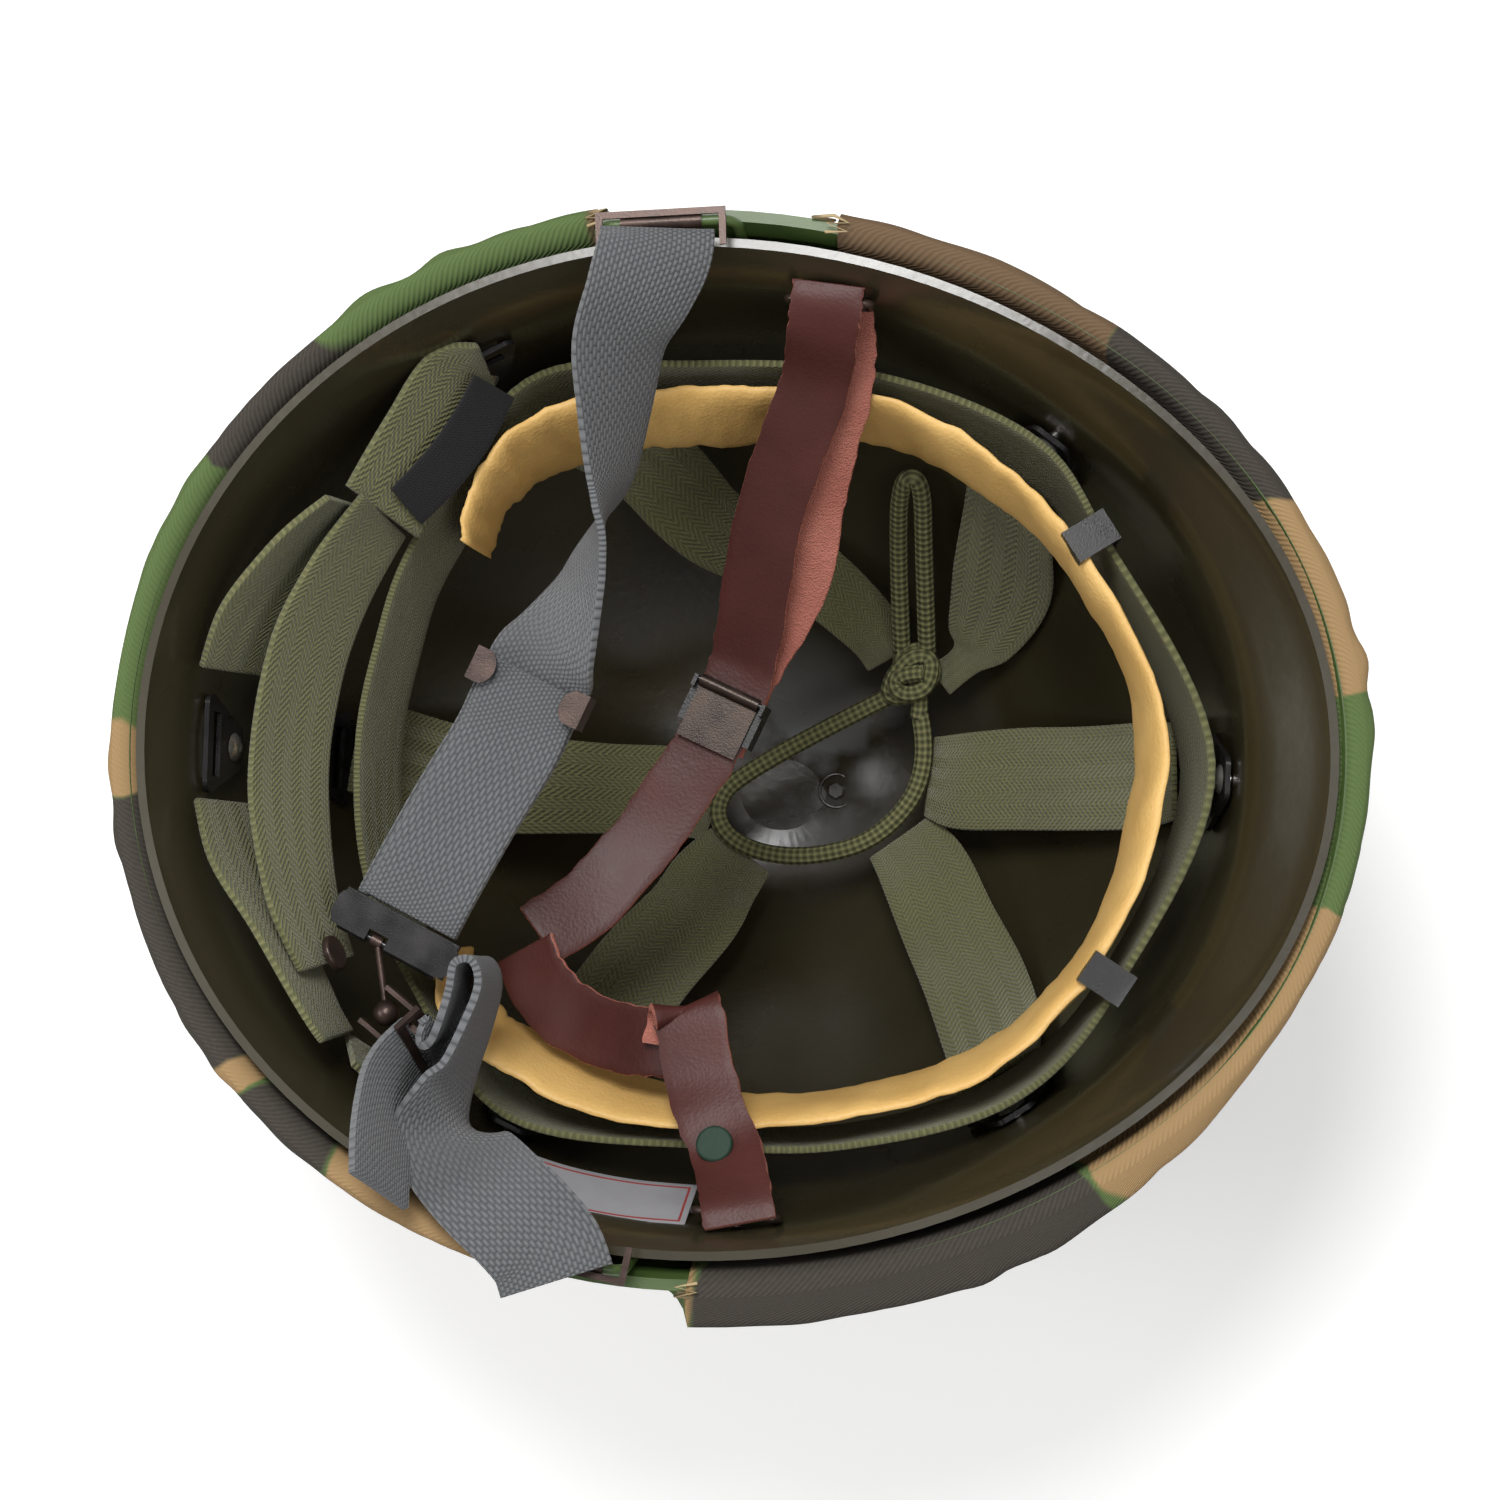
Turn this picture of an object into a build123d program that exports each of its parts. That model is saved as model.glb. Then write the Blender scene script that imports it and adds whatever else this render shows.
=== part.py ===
from build123d import *
import math
import os

# Steel pot helmet lying on its crown with the opening up.
# +X is the front (brim), +Y the wearer's right, +Z out of the opening.
# The origin is the middle of the small flat that the crown rests on.

# Driving dimensions of the bowl, in millimetres
rim_height = 176.0      # side of the liner's rim above the floor
lip_front = 141.5       # liner lip ahead of the widest station
lip_rear = 127.5        # liner lip behind the widest station
lip_side = 113.0        # liner lip out to one side
front_flare = 16.0      # how far the brim turns out at the front
rear_flare = 4.5
side_flare = 4.5
flare_height = 22.0     # height over which the lip turns out
front_drop = 14.0       # how far the brim is cut away at the front
rear_drop = 6.0
rim_margin = 16.0       # how far past the lip the two drops are measured
rest_dip = 0.7          # depth of the flat cut under the crown
fullness_share = 0.955  # how nearly the bowl follows a half ellipse

# Walls and the room between them
liner_wall = 2.0
liner_stand = 2.5       # liner lip above the steel edge
end_room = 3.2          # liner to steel at front and rear
side_room = 5.6
crown_room = 2.4
steel_wall = 1.1
bead_thickness = 0.7
bead_height = 4.5
cloth_gap = 0.2
cloth_thickness = 1.0
hem_depth = 13.0        # cloth tucked down inside the steel edge

overrun = 4.0           # how far cutting shapes run past what they cut
probe_rise = 1.0        # small steps used to find how a wall leans and turns
probe_turn = 1.0

half_length = (lip_front + lip_rear) / 2
widest_station = (lip_rear - lip_front) / 2
crown_height = crown_room + steel_wall + bead_thickness + cloth_gap + cloth_thickness - rest_dip

# Heights of the outlines, as shares of the height from a surface's own crown to the rim
level_shares = [0.02, 0.055, 0.11, 0.19, 0.29, 0.41, 0.53, 0.64, 0.74, 0.81, 0.86, 0.9, 0.935, 0.97, 1.0]


def grown(surface, amount):
    """The surface at an even distance outside another one."""
    return tuple(value + amount for value in surface)


liner_outer = (0.0, 0.0, 0.0)
liner_inner = grown(liner_outer, -liner_wall)
steel_inner = (end_room, side_room, crown_room)
steel_outer = grown(steel_inner, steel_wall)
cover_inner = grown(steel_outer, bead_thickness + cloth_gap)
cover_outer = grown(cover_inner, cloth_thickness)
hem_outer = grown(steel_inner, -bead_thickness - cloth_gap)
hem_inner = grown(hem_outer, -cloth_thickness)


def lip_rise(height, drop):
    """Share of the lip's flare reached at a height."""
    start = rim_height - drop - flare_height
    share = (height - start) / flare_height
    return min(1, max(0, share)) ** 2


def reaches(height, surface):
    """Front, rear and side reach of a surface at a height."""
    end_grow, side_grow, crown_grow = surface
    base = crown_height - crown_grow
    share = min(1, max(0, (height - base) / (rim_height - base)))
    bowl_share = math.sqrt(1 - (1 - share) ** 2) * (fullness_share + (1 - fullness_share) * share)
    front = (lip_front - front_flare + end_grow) * bowl_share + front_flare * lip_rise(height, front_drop)
    rear = (lip_rear - rear_flare + end_grow) * bowl_share + rear_flare * lip_rise(height, rear_drop)
    side = (lip_side - side_flare + side_grow) * bowl_share + side_flare * lip_rise(height, 0)
    return front, rear, side


def outline(height, surface):
    """Egg-shaped outline of a surface at a height: four quarter ellipses."""
    front, rear, side = reaches(height, surface)
    centre = (widest_station, 0)
    reach_pairs = [(front, 0), (rear, 90), (rear, 180), (front, 270)]
    arcs = [EllipticalCenterArc(centre, reach, side, start, arc_size=90) for reach, start in reach_pairs]
    return Wire([Pos(0, 0, height) * arc for arc in arcs])


def bowl(surface):
    """Solid that fills a surface from its crown to above the rim."""
    base = crown_height - surface[2]
    heights = [base + rest_dip]
    heights += [base + share * (rim_height - base) for share in level_shares]
    heights.append(rim_height + overrun)
    return Solid.make_loft([outline(height, surface) for height in heights])


def above_rim(rise):
    """Everything above the curved rim line, raised by an amount."""
    reach = half_length + rim_margin
    front = (reach, rim_height - front_drop + rise)
    rear = (-reach, rim_height - rear_drop + rise)
    peak = (widest_station * 4, rim_height + rise)
    top = 2 * rim_height
    edge = ThreePointArc(front, peak, rear)
    frame_line = Polyline(rear, (-reach, top), (reach, top), front)
    return extrude(Plane.XZ * make_face([edge, frame_line]), amount=2 * lip_side, both=True)


def rim_level(x):
    """Height of the liner's rim at a place along the helmet, near enough for seating pieces."""
    peak = widest_station * 4
    reach = half_length + rim_margin
    span = reach - peak if x > peak else reach + peak
    drop = front_drop if x > peak else rear_drop
    return rim_height - drop * ((x - peak) / span) ** 2


def wall_point(turn, height, surface):
    """Place on a surface at a turn from the front and a height."""
    front, rear, side = reaches(height, surface)
    angle = math.radians(turn)
    reach = front if math.cos(angle) > 0 else rear
    return Vector(widest_station + reach * math.cos(angle), side * math.sin(angle), height)


def wall_plane(turn, height, surface):
    """Plane on the inside of a surface: x along the wall, y up the wall, z inwards."""
    here = wall_point(turn, height, surface)
    along = wall_point(turn + probe_turn, height, surface) - wall_point(turn - probe_turn, height, surface)
    up = wall_point(turn, height + probe_rise, surface) - wall_point(turn, height - probe_rise, surface)
    inwards = up.cross(along)
    if inwards.dot(here - Vector(0, 0, height)) > 0:
        inwards = -inwards
    return Plane(origin=here, x_dir=up.cross(inwards), z_dir=inwards)


def place(shares):
    """Place given as shares of the half length, half width and rim height."""
    return Vector(shares[0] * half_length, shares[1] * lip_side, shares[2] * rim_height)


def held_in(shares, room):
    """Place from shares, drawn in where it would come nearer to the liner's wall than the room."""
    spot = place(shares)
    front, rear, side = reaches(spot.Z, grown(liner_inner, -room))
    reach = front if spot.X > widest_station else rear
    ratio = math.hypot((spot.X - widest_station) / reach, spot.Y / side)
    shrink = 1 / max(1, ratio)
    return Vector(widest_station + (spot.X - widest_station) * shrink, spot.Y * shrink, spot.Z)


def ribbon(stations, width, thickness, room=0, lift=0, shift=0):
    """Strap through rectangles: each station has a place, the way across it and a share of the width."""
    points = [held_in(station[0], room) for station in stations]
    sections = []
    for index, (_, across, width_share) in enumerate(stations):
        ahead = points[min(index + 1, len(points) - 1)] - points[max(index - 1, 0)]
        forward = ahead.normalized()
        side = Vector(*across)
        side = (side - forward * side.dot(forward)).normalized() * (width * width_share / 2)
        normal = forward.cross(side).normalized()
        deep = normal * (thickness / 2)
        here = points[index] + normal * lift + side.normalized() * shift
        corners = [here + side + deep, here + side - deep, here - side - deep, here - side + deep]
        sections.append(Wire.make_polygon(corners, close=True))
    return Solid.make_loft(sections, ruled=True)


ring_steps = 32             # short runs round a head band


def skin(plan_shares, level_share, room, grow):
    """Smooth closed line round the head at one height, drawn in from the wall and grown outwards."""
    points = [held_in((along, across, level_share), room) for along, across in plan_shares]
    spread = []
    for index, point in enumerate(points):
        run = points[(index + 1) % len(points)] - points[index - 1]
        outward = Vector(-run.Y, run.X, 0).normalized()
        spread.append(point + outward * grow)
    line = Spline(*spread, periodic=True)
    return Wire.make_polygon([line @ (step / ring_steps) for step in range(ring_steps)], close=True)


def head_ring(near_plan, far_plan, levels, room, thickness):
    """Band round the head between two heights."""
    near_level, far_level = levels
    skins = []
    for grow in (thickness / 2, -thickness / 2):
        ends = [skin(far_plan, far_level, room, grow), skin(near_plan, near_level, room, grow)]
        skins.append(Solid.make_loft(ends, ruled=True))
    return skins[0] - skins[1]


def along_wall(shares):
    """Way along the liner's wall, level, at a place."""
    spot = place(shares)
    front, rear, side = reaches(spot.Z, liner_inner)
    reach = front if spot.X > widest_station else rear
    slope = Vector((spot.X - widest_station) / reach ** 2, spot.Y / side ** 2, 0)
    run = Vector(slope.Y, -slope.X, 0).normalized()
    return tuple(run if run.X + abs(run.Y) / 2 > 0 else -run)


def shares_of(spot):
    """A place turned back into shares."""
    return spot.X / half_length, spot.Y / lip_side, spot.Z / rim_height


def rod(start, end, radius):
    """Round bar between two places."""
    axis = end - start
    return Plane(origin=start, z_dir=axis) * Cylinder(
        radius, axis.length, align=(Align.CENTER, Align.CENTER, Align.MIN))


def wire_path(points, radii, wire_radius):
    """Bent wire of straight runs joined by arcs."""
    path = FilletPolyline(*points, radius=radii)
    start = Plane(origin=points[0], z_dir=points[1] - points[0])
    return sweep(start * Circle(wire_radius), path=path)


# Steel shell, its edge bead and the cloth cover
steel_edge = -liner_stand
steel_body = bowl(steel_outer) - bowl(steel_inner)
steel_shell = steel_body - above_rim(steel_edge)

bead_zone = bowl(grown(steel_outer, bead_thickness)) - bowl(grown(steel_inner, -bead_thickness))
bead_zone = (bead_zone & above_rim(steel_edge - bead_height)) - above_rim(steel_edge + bead_thickness)
rim_bead = bead_zone - steel_shell

fold_rise = steel_edge + bead_thickness + cloth_gap
cover = (bowl(cover_outer) - bowl(hem_inner)) - above_rim(fold_rise + cloth_thickness)
cover -= (bowl(cover_inner) - bowl(hem_outer)) - above_rim(fold_rise)
cover -= bowl(hem_outer) - above_rim(steel_edge - hem_depth)

# Places of the two strap loops along the helmet, and the slits in the cloth above them
right_loop_x = -18.0
left_loop_x = -32.0
right_slit_ahead = 42.0
right_slit_behind = 18.0
left_slit_ahead = 22.0
left_slit_behind = 18.0
slit_depth = 20.0


def slit(loop_x, behind, ahead, side_sign):
    """Block that opens the cloth over a strap loop."""
    block = Box(behind + ahead, lip_side, 2 * slit_depth)
    return Pos(loop_x + (ahead - behind) / 2, side_sign * lip_side, rim_height) * block


cover -= slit(right_loop_x, right_slit_behind, right_slit_ahead, 1)
cover -= slit(left_loop_x, left_slit_behind, left_slit_ahead, -1)

# Liner with the round mark at its crown
mark_radius = 4.6
mark_core_radius = 2.8
mark_rise = 1.1
mark_groove = 0.6
liner_shell = (bowl(liner_outer) - bowl(liner_inner)) - above_rim(0)
inner_crown = crown_height + liner_wall
mark = Cylinder(mark_radius, liner_wall, align=(Align.CENTER, Align.CENTER, Align.MAX))
mark -= Cylinder(
    (mark_radius + mark_core_radius) / 2, mark_groove, align=(Align.CENTER, Align.CENTER, Align.MAX))
mark += Cylinder(mark_core_radius, mark_groove, align=(Align.CENTER, Align.CENTER, Align.MAX))
liner_shell += Pos(0, 0, inner_crown + mark_rise) * mark

# Strap loops, hinged inside the steel edge
loop_wire_radius = 1.2
loop_width = 31.0           # between the wire's centre lines
loop_bend_radius = 4.0
hinge_depth = 9.0           # hinge line below the steel edge
hinge_clear = 1.0           # knuckle off the steel
knuckle_wall = 0.7
knuckle_length = 17.0
running_gap = 0.05
leaf_height = 9.0
leaf_gap = 0.35
loop_reach = 17.0           # bar above the hinge line
loop_lean = 3.8             # bar further out than the hinge line
knuckle_bore = loop_wire_radius + running_gap
knuckle_radius = knuckle_bore + knuckle_wall


def loop_turn(loop_x, side_sign, height):
    return side_sign * math.degrees(math.acos((loop_x - widest_station) / reaches(height, steel_inner)[1]))


def loop_plane(loop_x, side_sign):
    """Plane on a loop's hinge line: x along the steel, y out of the helmet, z up."""
    height = rim_level(loop_x) + steel_edge - hinge_depth
    turn = loop_turn(loop_x, side_sign, height)
    wall = wall_point(turn, height, steel_inner)
    near = wall_point(turn - side_sign, height, steel_inner)
    far = wall_point(turn + side_sign, height, steel_inner)
    along = near - far
    outward = Vector(-along.Y, along.X, 0).normalized()
    outward = outward if outward.Y * side_sign > 0 else -outward
    hinge = wall - outward * (knuckle_radius + hinge_clear)
    return Plane(origin=hinge, x_dir=outward.cross(Vector(0, 0, 1)), z_dir=(0, 0, 1))


def strap_loop(loop_x, side_sign):
    """Closed wire rectangle: hinge bar below, strap bar above."""
    half = loop_width / 2
    bends = [loop_bend_radius, loop_bend_radius]
    halves = []
    for sign in (-1, 1):
        points = [Vector(0, 0, 0), Vector(sign * half, 0, 0),
                  Vector(sign * half, loop_lean, loop_reach), Vector(0, loop_lean, loop_reach)]
        halves.append(wire_path(points, bends, loop_wire_radius))
    return loop_plane(loop_x, side_sign) * (halves[0] + halves[1])


def loop_hinge(loop_x, side_sign):
    """Rolled knuckle round the hinge bar with a leaf against the steel below it."""
    plane = loop_plane(loop_x, side_sign)
    tube = Cylinder(knuckle_radius, knuckle_length) - Cylinder(knuckle_bore, 2 * knuckle_length)
    height = plane.origin.Z - leaf_height / 2
    leaf_plane = wall_plane(loop_turn(loop_x, side_sign, height), height, steel_inner)
    leaf = leaf_plane * Pos(0, 0, leaf_gap) * Box(
        knuckle_length, leaf_height, knuckle_wall, align=(Align.CENTER, Align.CENTER, Align.MIN))
    neck = Box(knuckle_length, knuckle_radius + hinge_clear - leaf_gap - knuckle_wall, knuckle_wall,
               align=(Align.CENTER, Align.MIN, Align.CENTER))
    return plane * (Rot(0, 90, 0) * tube + Pos(0, 0, -knuckle_bore - knuckle_wall / 2) * neck) + leaf


strap_loop_right = strap_loop(right_loop_x, 1)
strap_loop_left = strap_loop(left_loop_x, -1)
loop_hinge_right = loop_hinge(right_loop_x, 1)
loop_hinge_left = loop_hinge(left_loop_x, -1)

# Strap clips: a roll round the loop's bar with a flat handle round the end of the web
web_width = 25.4
web_thickness = 1.8
clip_roll_length = 18.0
clip_roll_wall = 0.6
clip_bar = 1.5
clip_thickness = 1.0
clip_arm = 7.0
right_clip_shift = -1.0     # clips sit off the middle of their loops
left_clip_shift = -2.5
seat_gap = 0.3              # gap between soft pieces and what they bear on
clip_bore = loop_wire_radius + running_gap
clip_roll_radius = clip_bore + clip_roll_wall


def clip_place(loop_x, side_sign, shift):
    return loop_plane(loop_x, side_sign) * Pos(shift, loop_lean, loop_reach)


def strap_clip(loop_x, side_sign, shift):
    """Rolled clip with its handle, open on the side where the web comes in."""
    bore = Rot(0, 90, 0) * Cylinder(clip_bore, 2 * web_width)
    roll = Rot(0, 90, 0) * Cylinder(clip_roll_radius, clip_roll_length)
    opening = web_width + 2 * seat_gap
    handle = Box(opening + 2 * clip_bar, clip_bar + clip_arm, clip_thickness,
                 align=(Align.CENTER, Align.MAX, Align.CENTER))
    handle -= Pos(0, -clip_bar, 0) * Box(
        opening, 2 * clip_arm, 2 * clip_thickness, align=(Align.CENTER, Align.MAX, Align.CENTER))
    handle = Pos(0, clip_roll_radius + clip_bar / 2, clip_bore + clip_thickness / 2) * handle
    return clip_place(loop_x, side_sign, shift) * ((roll + handle) - bore)


def web_start(loop_x, side_sign, shift, run):
    """Place where the web leaves its clip, after a run inwards."""
    seat = clip_place(loop_x, side_sign, shift) * Pos(0, -clip_roll_radius - seat_gap - run, web_thickness)
    return shares_of(Vector(*seat.position))


strap_clip_right = strap_clip(right_loop_x, 1, right_clip_shift)
strap_clip_left = strap_clip(left_loop_x, -1, left_clip_shift)
right_web_start = web_start(right_loop_x, 1, right_clip_shift, 0)
right_web_bend = web_start(right_loop_x, 1, right_clip_shift, clip_arm)
right_web_across = tuple(loop_plane(right_loop_x, 1).x_dir)

# Grey web chin strap, longer half
long_strap_shares = [
    (right_web_start, right_web_across, 1),
    (right_web_bend, right_web_across, 1),
    ((-0.178, 0.860, 1.020), (0.98, 0, -0.1), 1),
    ((-0.200, 0.790, 0.985), (0.96, 0, -0.28), 1),
    ((-0.235, 0.680, 0.930), (0.75, 0, -0.66), 1),
    ((-0.250, 0.560, 0.897), (0.3, 0, -0.95), 1),
    ((-0.262, 0.450, 0.885), (0.02, 0, -1), 1),
    ((-0.285, 0.340, 0.875), (-0.35, 0.1, -0.94), 1),
    ((-0.318, 0.240, 0.865), (-0.85, 0.2, -0.5), 1),
    ((-0.342, 0.165, 0.858), (-0.92, 0.39, 0), 1),
    ((-0.375, 0.075, 0.858), (-0.92, 0.39, 0), 1),
    ((-0.402, 0.000, 0.858), (-0.91, 0.41, 0), 1),
    ((-0.465, -0.134, 0.858), (-0.89, 0.46, 0), 1),
    ((-0.527, -0.280, 0.858), (-0.89, 0.45, 0), 1),
    ((-0.555, -0.350, 0.858), (-0.90, 0.43, 0), 1),
]
strap_return_shares = [
    ((-0.347, 0.135, 0.872), (-0.92, 0.39, 0), 0.94),
    ((-0.370, 0.075, 0.872), (-0.92, 0.39, 0), 0.94),
    ((-0.395, 0.000, 0.873), (-0.91, 0.41, 0), 0.94),
    ((-0.456, -0.134, 0.874), (-0.89, 0.46, 0), 0.94),
    ((-0.519, -0.280, 0.873), (-0.89, 0.45, 0), 0.94),
    ((-0.547, -0.350, 0.872), (-0.90, 0.43, 0), 0.94),
]
chin_strap_long = ribbon(long_strap_shares, web_width, web_thickness, -half_length)
chin_strap_return = ribbon(strap_return_shares, web_width, web_thickness)

# Keeper: a plate under both layers of web, with a claw over each edge
keeper_thickness = 1.2
keeper_depth = 8.0
keeper_lift = 6.2           # underside of the claws above the plate
claw_radius = 4.6
keeper_shares = (-0.360, 0.115, 0.858)
keeper_plane = Plane(origin=place(keeper_shares), x_dir=(0.92, -0.39, 0), z_dir=(0, 0, 1))
keeper_half = web_width / 2 + seat_gap
keeper_base = -web_thickness / 2 - seat_gap
keeper = Pos(0, 0, keeper_base) * Box(
    2 * (keeper_half + keeper_thickness), keeper_depth, keeper_thickness,
    align=(Align.CENTER, Align.CENTER, Align.MAX))
for sign in (-1, 1):
    side_wall = Box(keeper_thickness, keeper_depth, keeper_lift + 2 * keeper_thickness,
                    align=(Align.CENTER, Align.CENTER, Align.MIN))
    keeper += Pos(sign * (keeper_half + keeper_thickness / 2), 0, keeper_base - keeper_thickness) * side_wall
    claw = Cylinder(claw_radius, keeper_thickness, align=(Align.CENTER, Align.CENTER, Align.MIN))
    claw &= Box(2 * claw_radius, keeper_depth, 2 * keeper_thickness)
    far_half = Box(2 * claw_radius, 2 * claw_radius, 4 * keeper_thickness,
                   align=(Align.MIN, Align.CENTER, Align.CENTER))
    claw -= Pos(keeper_thickness, 0, 0) * far_half
    claw = claw if sign > 0 else Rot(0, 0, 180) * claw
    keeper += Pos(sign * keeper_half, 0, keeper_base + keeper_lift) * claw
strap_keeper = keeper_plane * keeper

# Buckle: a frame with a round pin, and a flat lever that opens about the pin
buckle_bar = 1.6
buckle_depth = 8.0
buckle_rise = 1.2
buckle_pin_radius = 0.8
lever_length = 31.0
lever_depth = 8.6
lever_thickness = 1.0
lever_roll_wall = 0.75
lever_gap = 0.3
link_slot_place = -3.0
link_slot_length = 5.0
buckle_across = (0.90, -0.43, 0)
buckle_plane = Plane(origin=place(long_strap_shares[-1][0]), x_dir=buckle_across, z_dir=(0, 0, 1))
buckle_plane = buckle_plane.offset(buckle_rise)
pin_place = -(seat_gap + buckle_depth)
buckle_half = web_width / 2 + seat_gap + buckle_bar / 2
near_bar = Box(2 * buckle_half + buckle_bar, buckle_bar, buckle_bar,
               align=(Align.CENTER, Align.MAX, Align.CENTER))
buckle = Pos(0, -seat_gap, 0) * near_bar
for sign in (-1, 1):
    arm = Box(buckle_bar, buckle_depth + buckle_bar / 2, buckle_bar,
              align=(Align.CENTER, Align.MAX, Align.CENTER))
    buckle += Pos(sign * buckle_half, -seat_gap, 0) * arm
pin = Pos(0, pin_place, 0) * Rot(0, 90, 0) * Cylinder(buckle_pin_radius, 2 * buckle_half)
buckle_frame = buckle_plane * (buckle + pin)

pin_bore = buckle_pin_radius + running_gap
roll_radius = pin_bore + lever_roll_wall
roll_length = 2 * buckle_half - buckle_bar - 2 * lever_gap
lever = Pos(0, pin_place, 0) * Rot(0, 90, 0) * Cylinder(roll_radius, roll_length)
lever_plate = Box(lever_length, lever_depth, lever_thickness, align=(Align.CENTER, Align.MIN, Align.MIN))
lever_plate = fillet(lever_plate.edges().filter_by(Axis.Z), lever_depth / 3)
lever += Pos(0, pin_place - buckle_pin_radius, buckle_bar / 2 + lever_gap) * lever_plate
lever -= Pos(0, pin_place, 0) * Rot(0, 90, 0) * Cylinder(pin_bore, lever_length)
link_slot = Box(link_slot_length, 2 * (roll_radius + lever_gap), 4 * roll_radius)
lever -= Pos(link_slot_place, pin_place, 0) * link_slot
buckle_lever = buckle_plane * lever

# Quick release: a ball on a wire link, held between the cheeks of a fork
ball_radius = 3.0
link_radius = 0.75
link_eye_wall = 0.6
link_eye_length = 2.6
ball_shares = (-0.571, -0.548, 0.895)
cheek_gap = 1.2
cheek_thickness = 1.1
cheek_length = 9.5
cheek_height = 5.0
bridge_gap = 1.8
fork_way = (0.8, -0.6, 0)
tongue_length = 4.4
tongue_width = 4.0
ball_centre = place(ball_shares)
eye_radius = pin_bore + link_eye_wall
eye = Cylinder(eye_radius, link_eye_length) - Cylinder(pin_bore, 2 * link_eye_length)
eye_place = buckle_plane * Pos(link_slot_place, pin_place, 0) * Rot(0, 90, 0)
eye_centre = Vector(*eye_place.position)
link_way = (ball_centre - eye_centre).normalized()
link_start = eye_centre + link_way * (eye_radius + link_eye_wall / 4)
release_ball = eye_place * eye + rod(link_start, ball_centre, link_radius)
release_ball += Pos(*ball_centre) * Sphere(ball_radius)

fork_plane = Plane(origin=ball_centre, x_dir=fork_way, z_dir=(0, 0, 1))
cheek_place = ball_radius + cheek_gap + cheek_thickness / 2
bridge_place = ball_radius + bridge_gap
bridge_length = 2 * cheek_place + cheek_thickness
fork = Pos(bridge_place, 0, 0) * Box(
    cheek_thickness, bridge_length, cheek_height, align=(Align.MIN, Align.CENTER, Align.CENTER))
for sign in (-1, 1):
    cheek = Box(cheek_length, cheek_thickness, cheek_height, align=(Align.MAX, Align.CENTER, Align.CENTER))
    fork += Pos(bridge_place + cheek_thickness, sign * cheek_place, 0) * cheek
fork += Pos(bridge_place, 0, 0) * Box(
    tongue_length, tongue_width, cheek_thickness, align=(Align.MIN, Align.CENTER, Align.CENTER))
release_fork = fork_plane * fork

# End plate of the shorter half, with the slot for its web
end_plate_length = 28.8
end_plate_width = 7.0
end_plate_thickness = 1.4
end_slot_width = 2.8
end_plate_shares = (-0.496, -0.619, 0.915)
end_plate_way = (0.15, -0.5, -0.85)
end_plate_normal = (0.70, -0.465, 0.40)
end_plate = Box(end_plate_length, end_plate_width, end_plate_thickness)
end_plate -= Box(web_width + 2 * seat_gap, end_slot_width, 2 * end_plate_thickness)
end_plane = Plane(origin=place(end_plate_shares), x_dir=end_plate_way, z_dir=end_plate_normal)
strap_end_plate = end_plane * end_plate

plate_step = end_plate_thickness / 2 + 2 * seat_gap + web_thickness / 2
web_run = 6.0               # straight web beside the end plate


def beside_plate(side_sign, run):
    """Place of the web beside the end plate."""
    return shares_of(end_plane.origin + end_plane.z_dir * side_sign * plate_step + end_plane.y_dir * run)


short_strap_shares = [
    ((-0.225, -1.045, 1.057), (0.94, 0.35, 0), 1),
    ((-0.245, -0.990, 1.057), (0.88, 0.46, 0), 1),
    ((-0.290, -0.935, 1.053), (0.78, 0.62, -0.05), 1),
    ((-0.345, -0.885, 1.035), (0.68, 0.68, -0.25), 1),
    ((-0.400, -0.832, 1.005), (0.55, 0.62, -0.55), 1),
    ((-0.440, -0.785, 0.972), (0.42, 0.45, -0.78), 1),
    ((-0.450, -0.728, 0.954), (0.28, 0.25, -0.92), 1),
    ((-0.436, -0.666, 0.940), (0.15, 0.05, -0.98), 1),
    ((-0.408, -0.565, 0.932), (0.05, 0, -1), 1),
    ((-0.392, -0.485, 0.930), (0, 0, -1), 1),
    ((-0.402, -0.440, 0.930), (0, 0, -1), 1),
    ((-0.428, -0.440, 0.929), (0, 0, -1), 1),
    ((-0.438, -0.490, 0.927), (0, -0.05, -1), 1),
    ((-0.446, -0.540, 0.925), (0.04, -0.15, -0.98), 1),
    (beside_plate(1, web_run), end_plate_way, 1),
    (beside_plate(1, 0), end_plate_way, 1),
]
short_tail_shares = [
    (beside_plate(-1, 0), end_plate_way, 1),
    (beside_plate(-1, -web_run), end_plate_way, 1),
    ((-0.556, -0.705, 0.988), (0.25, -0.1, -0.95), 0.9),
    ((-0.555, -0.760, 1.040), (0.3, 0, -0.95), 0.8),
    ((-0.548, -0.822, 1.080), (0.35, 0, -0.93), 0.8),
    ((-0.540, -0.888, 1.105), (0.35, 0, -0.93), 0.8),
]
chin_strap_short = ribbon(short_strap_shares, web_width, web_thickness, -half_length)
chin_strap_tail = ribbon(short_tail_shares, web_width, web_thickness, -half_length)

# Triangular washers and their rivets, along the inside of the liner
washer_base = 25.0
washer_height = 19.0
washer_top = 9.0
washer_thickness = 1.2
washer_stand = 1.3          # washer off the wall, clear of its curve
washer_slot_width = 15.0
washer_slot_height = 4.0
rivet_radius = 1.5
rivet_head_radius = 3.4
rivet_head_height = 1.6
headband_washer_shares = {
    "washer_front": (0, 0.700),
    "washer_front_right": (51, 0.680),
    "washer_rear_right": (116, 0.610),
    "washer_rear": (180, 0.530),
    "washer_rear_left": (244, 0.610),
    "washer_front_left": (308, 0.680),
}
nape_washer_shares = {
    "washer_nape_right": (121, 0.795),
    "washer_nape_rear": (181, 0.795),
    "washer_nape_left": (239, 0.795),
}


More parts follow.
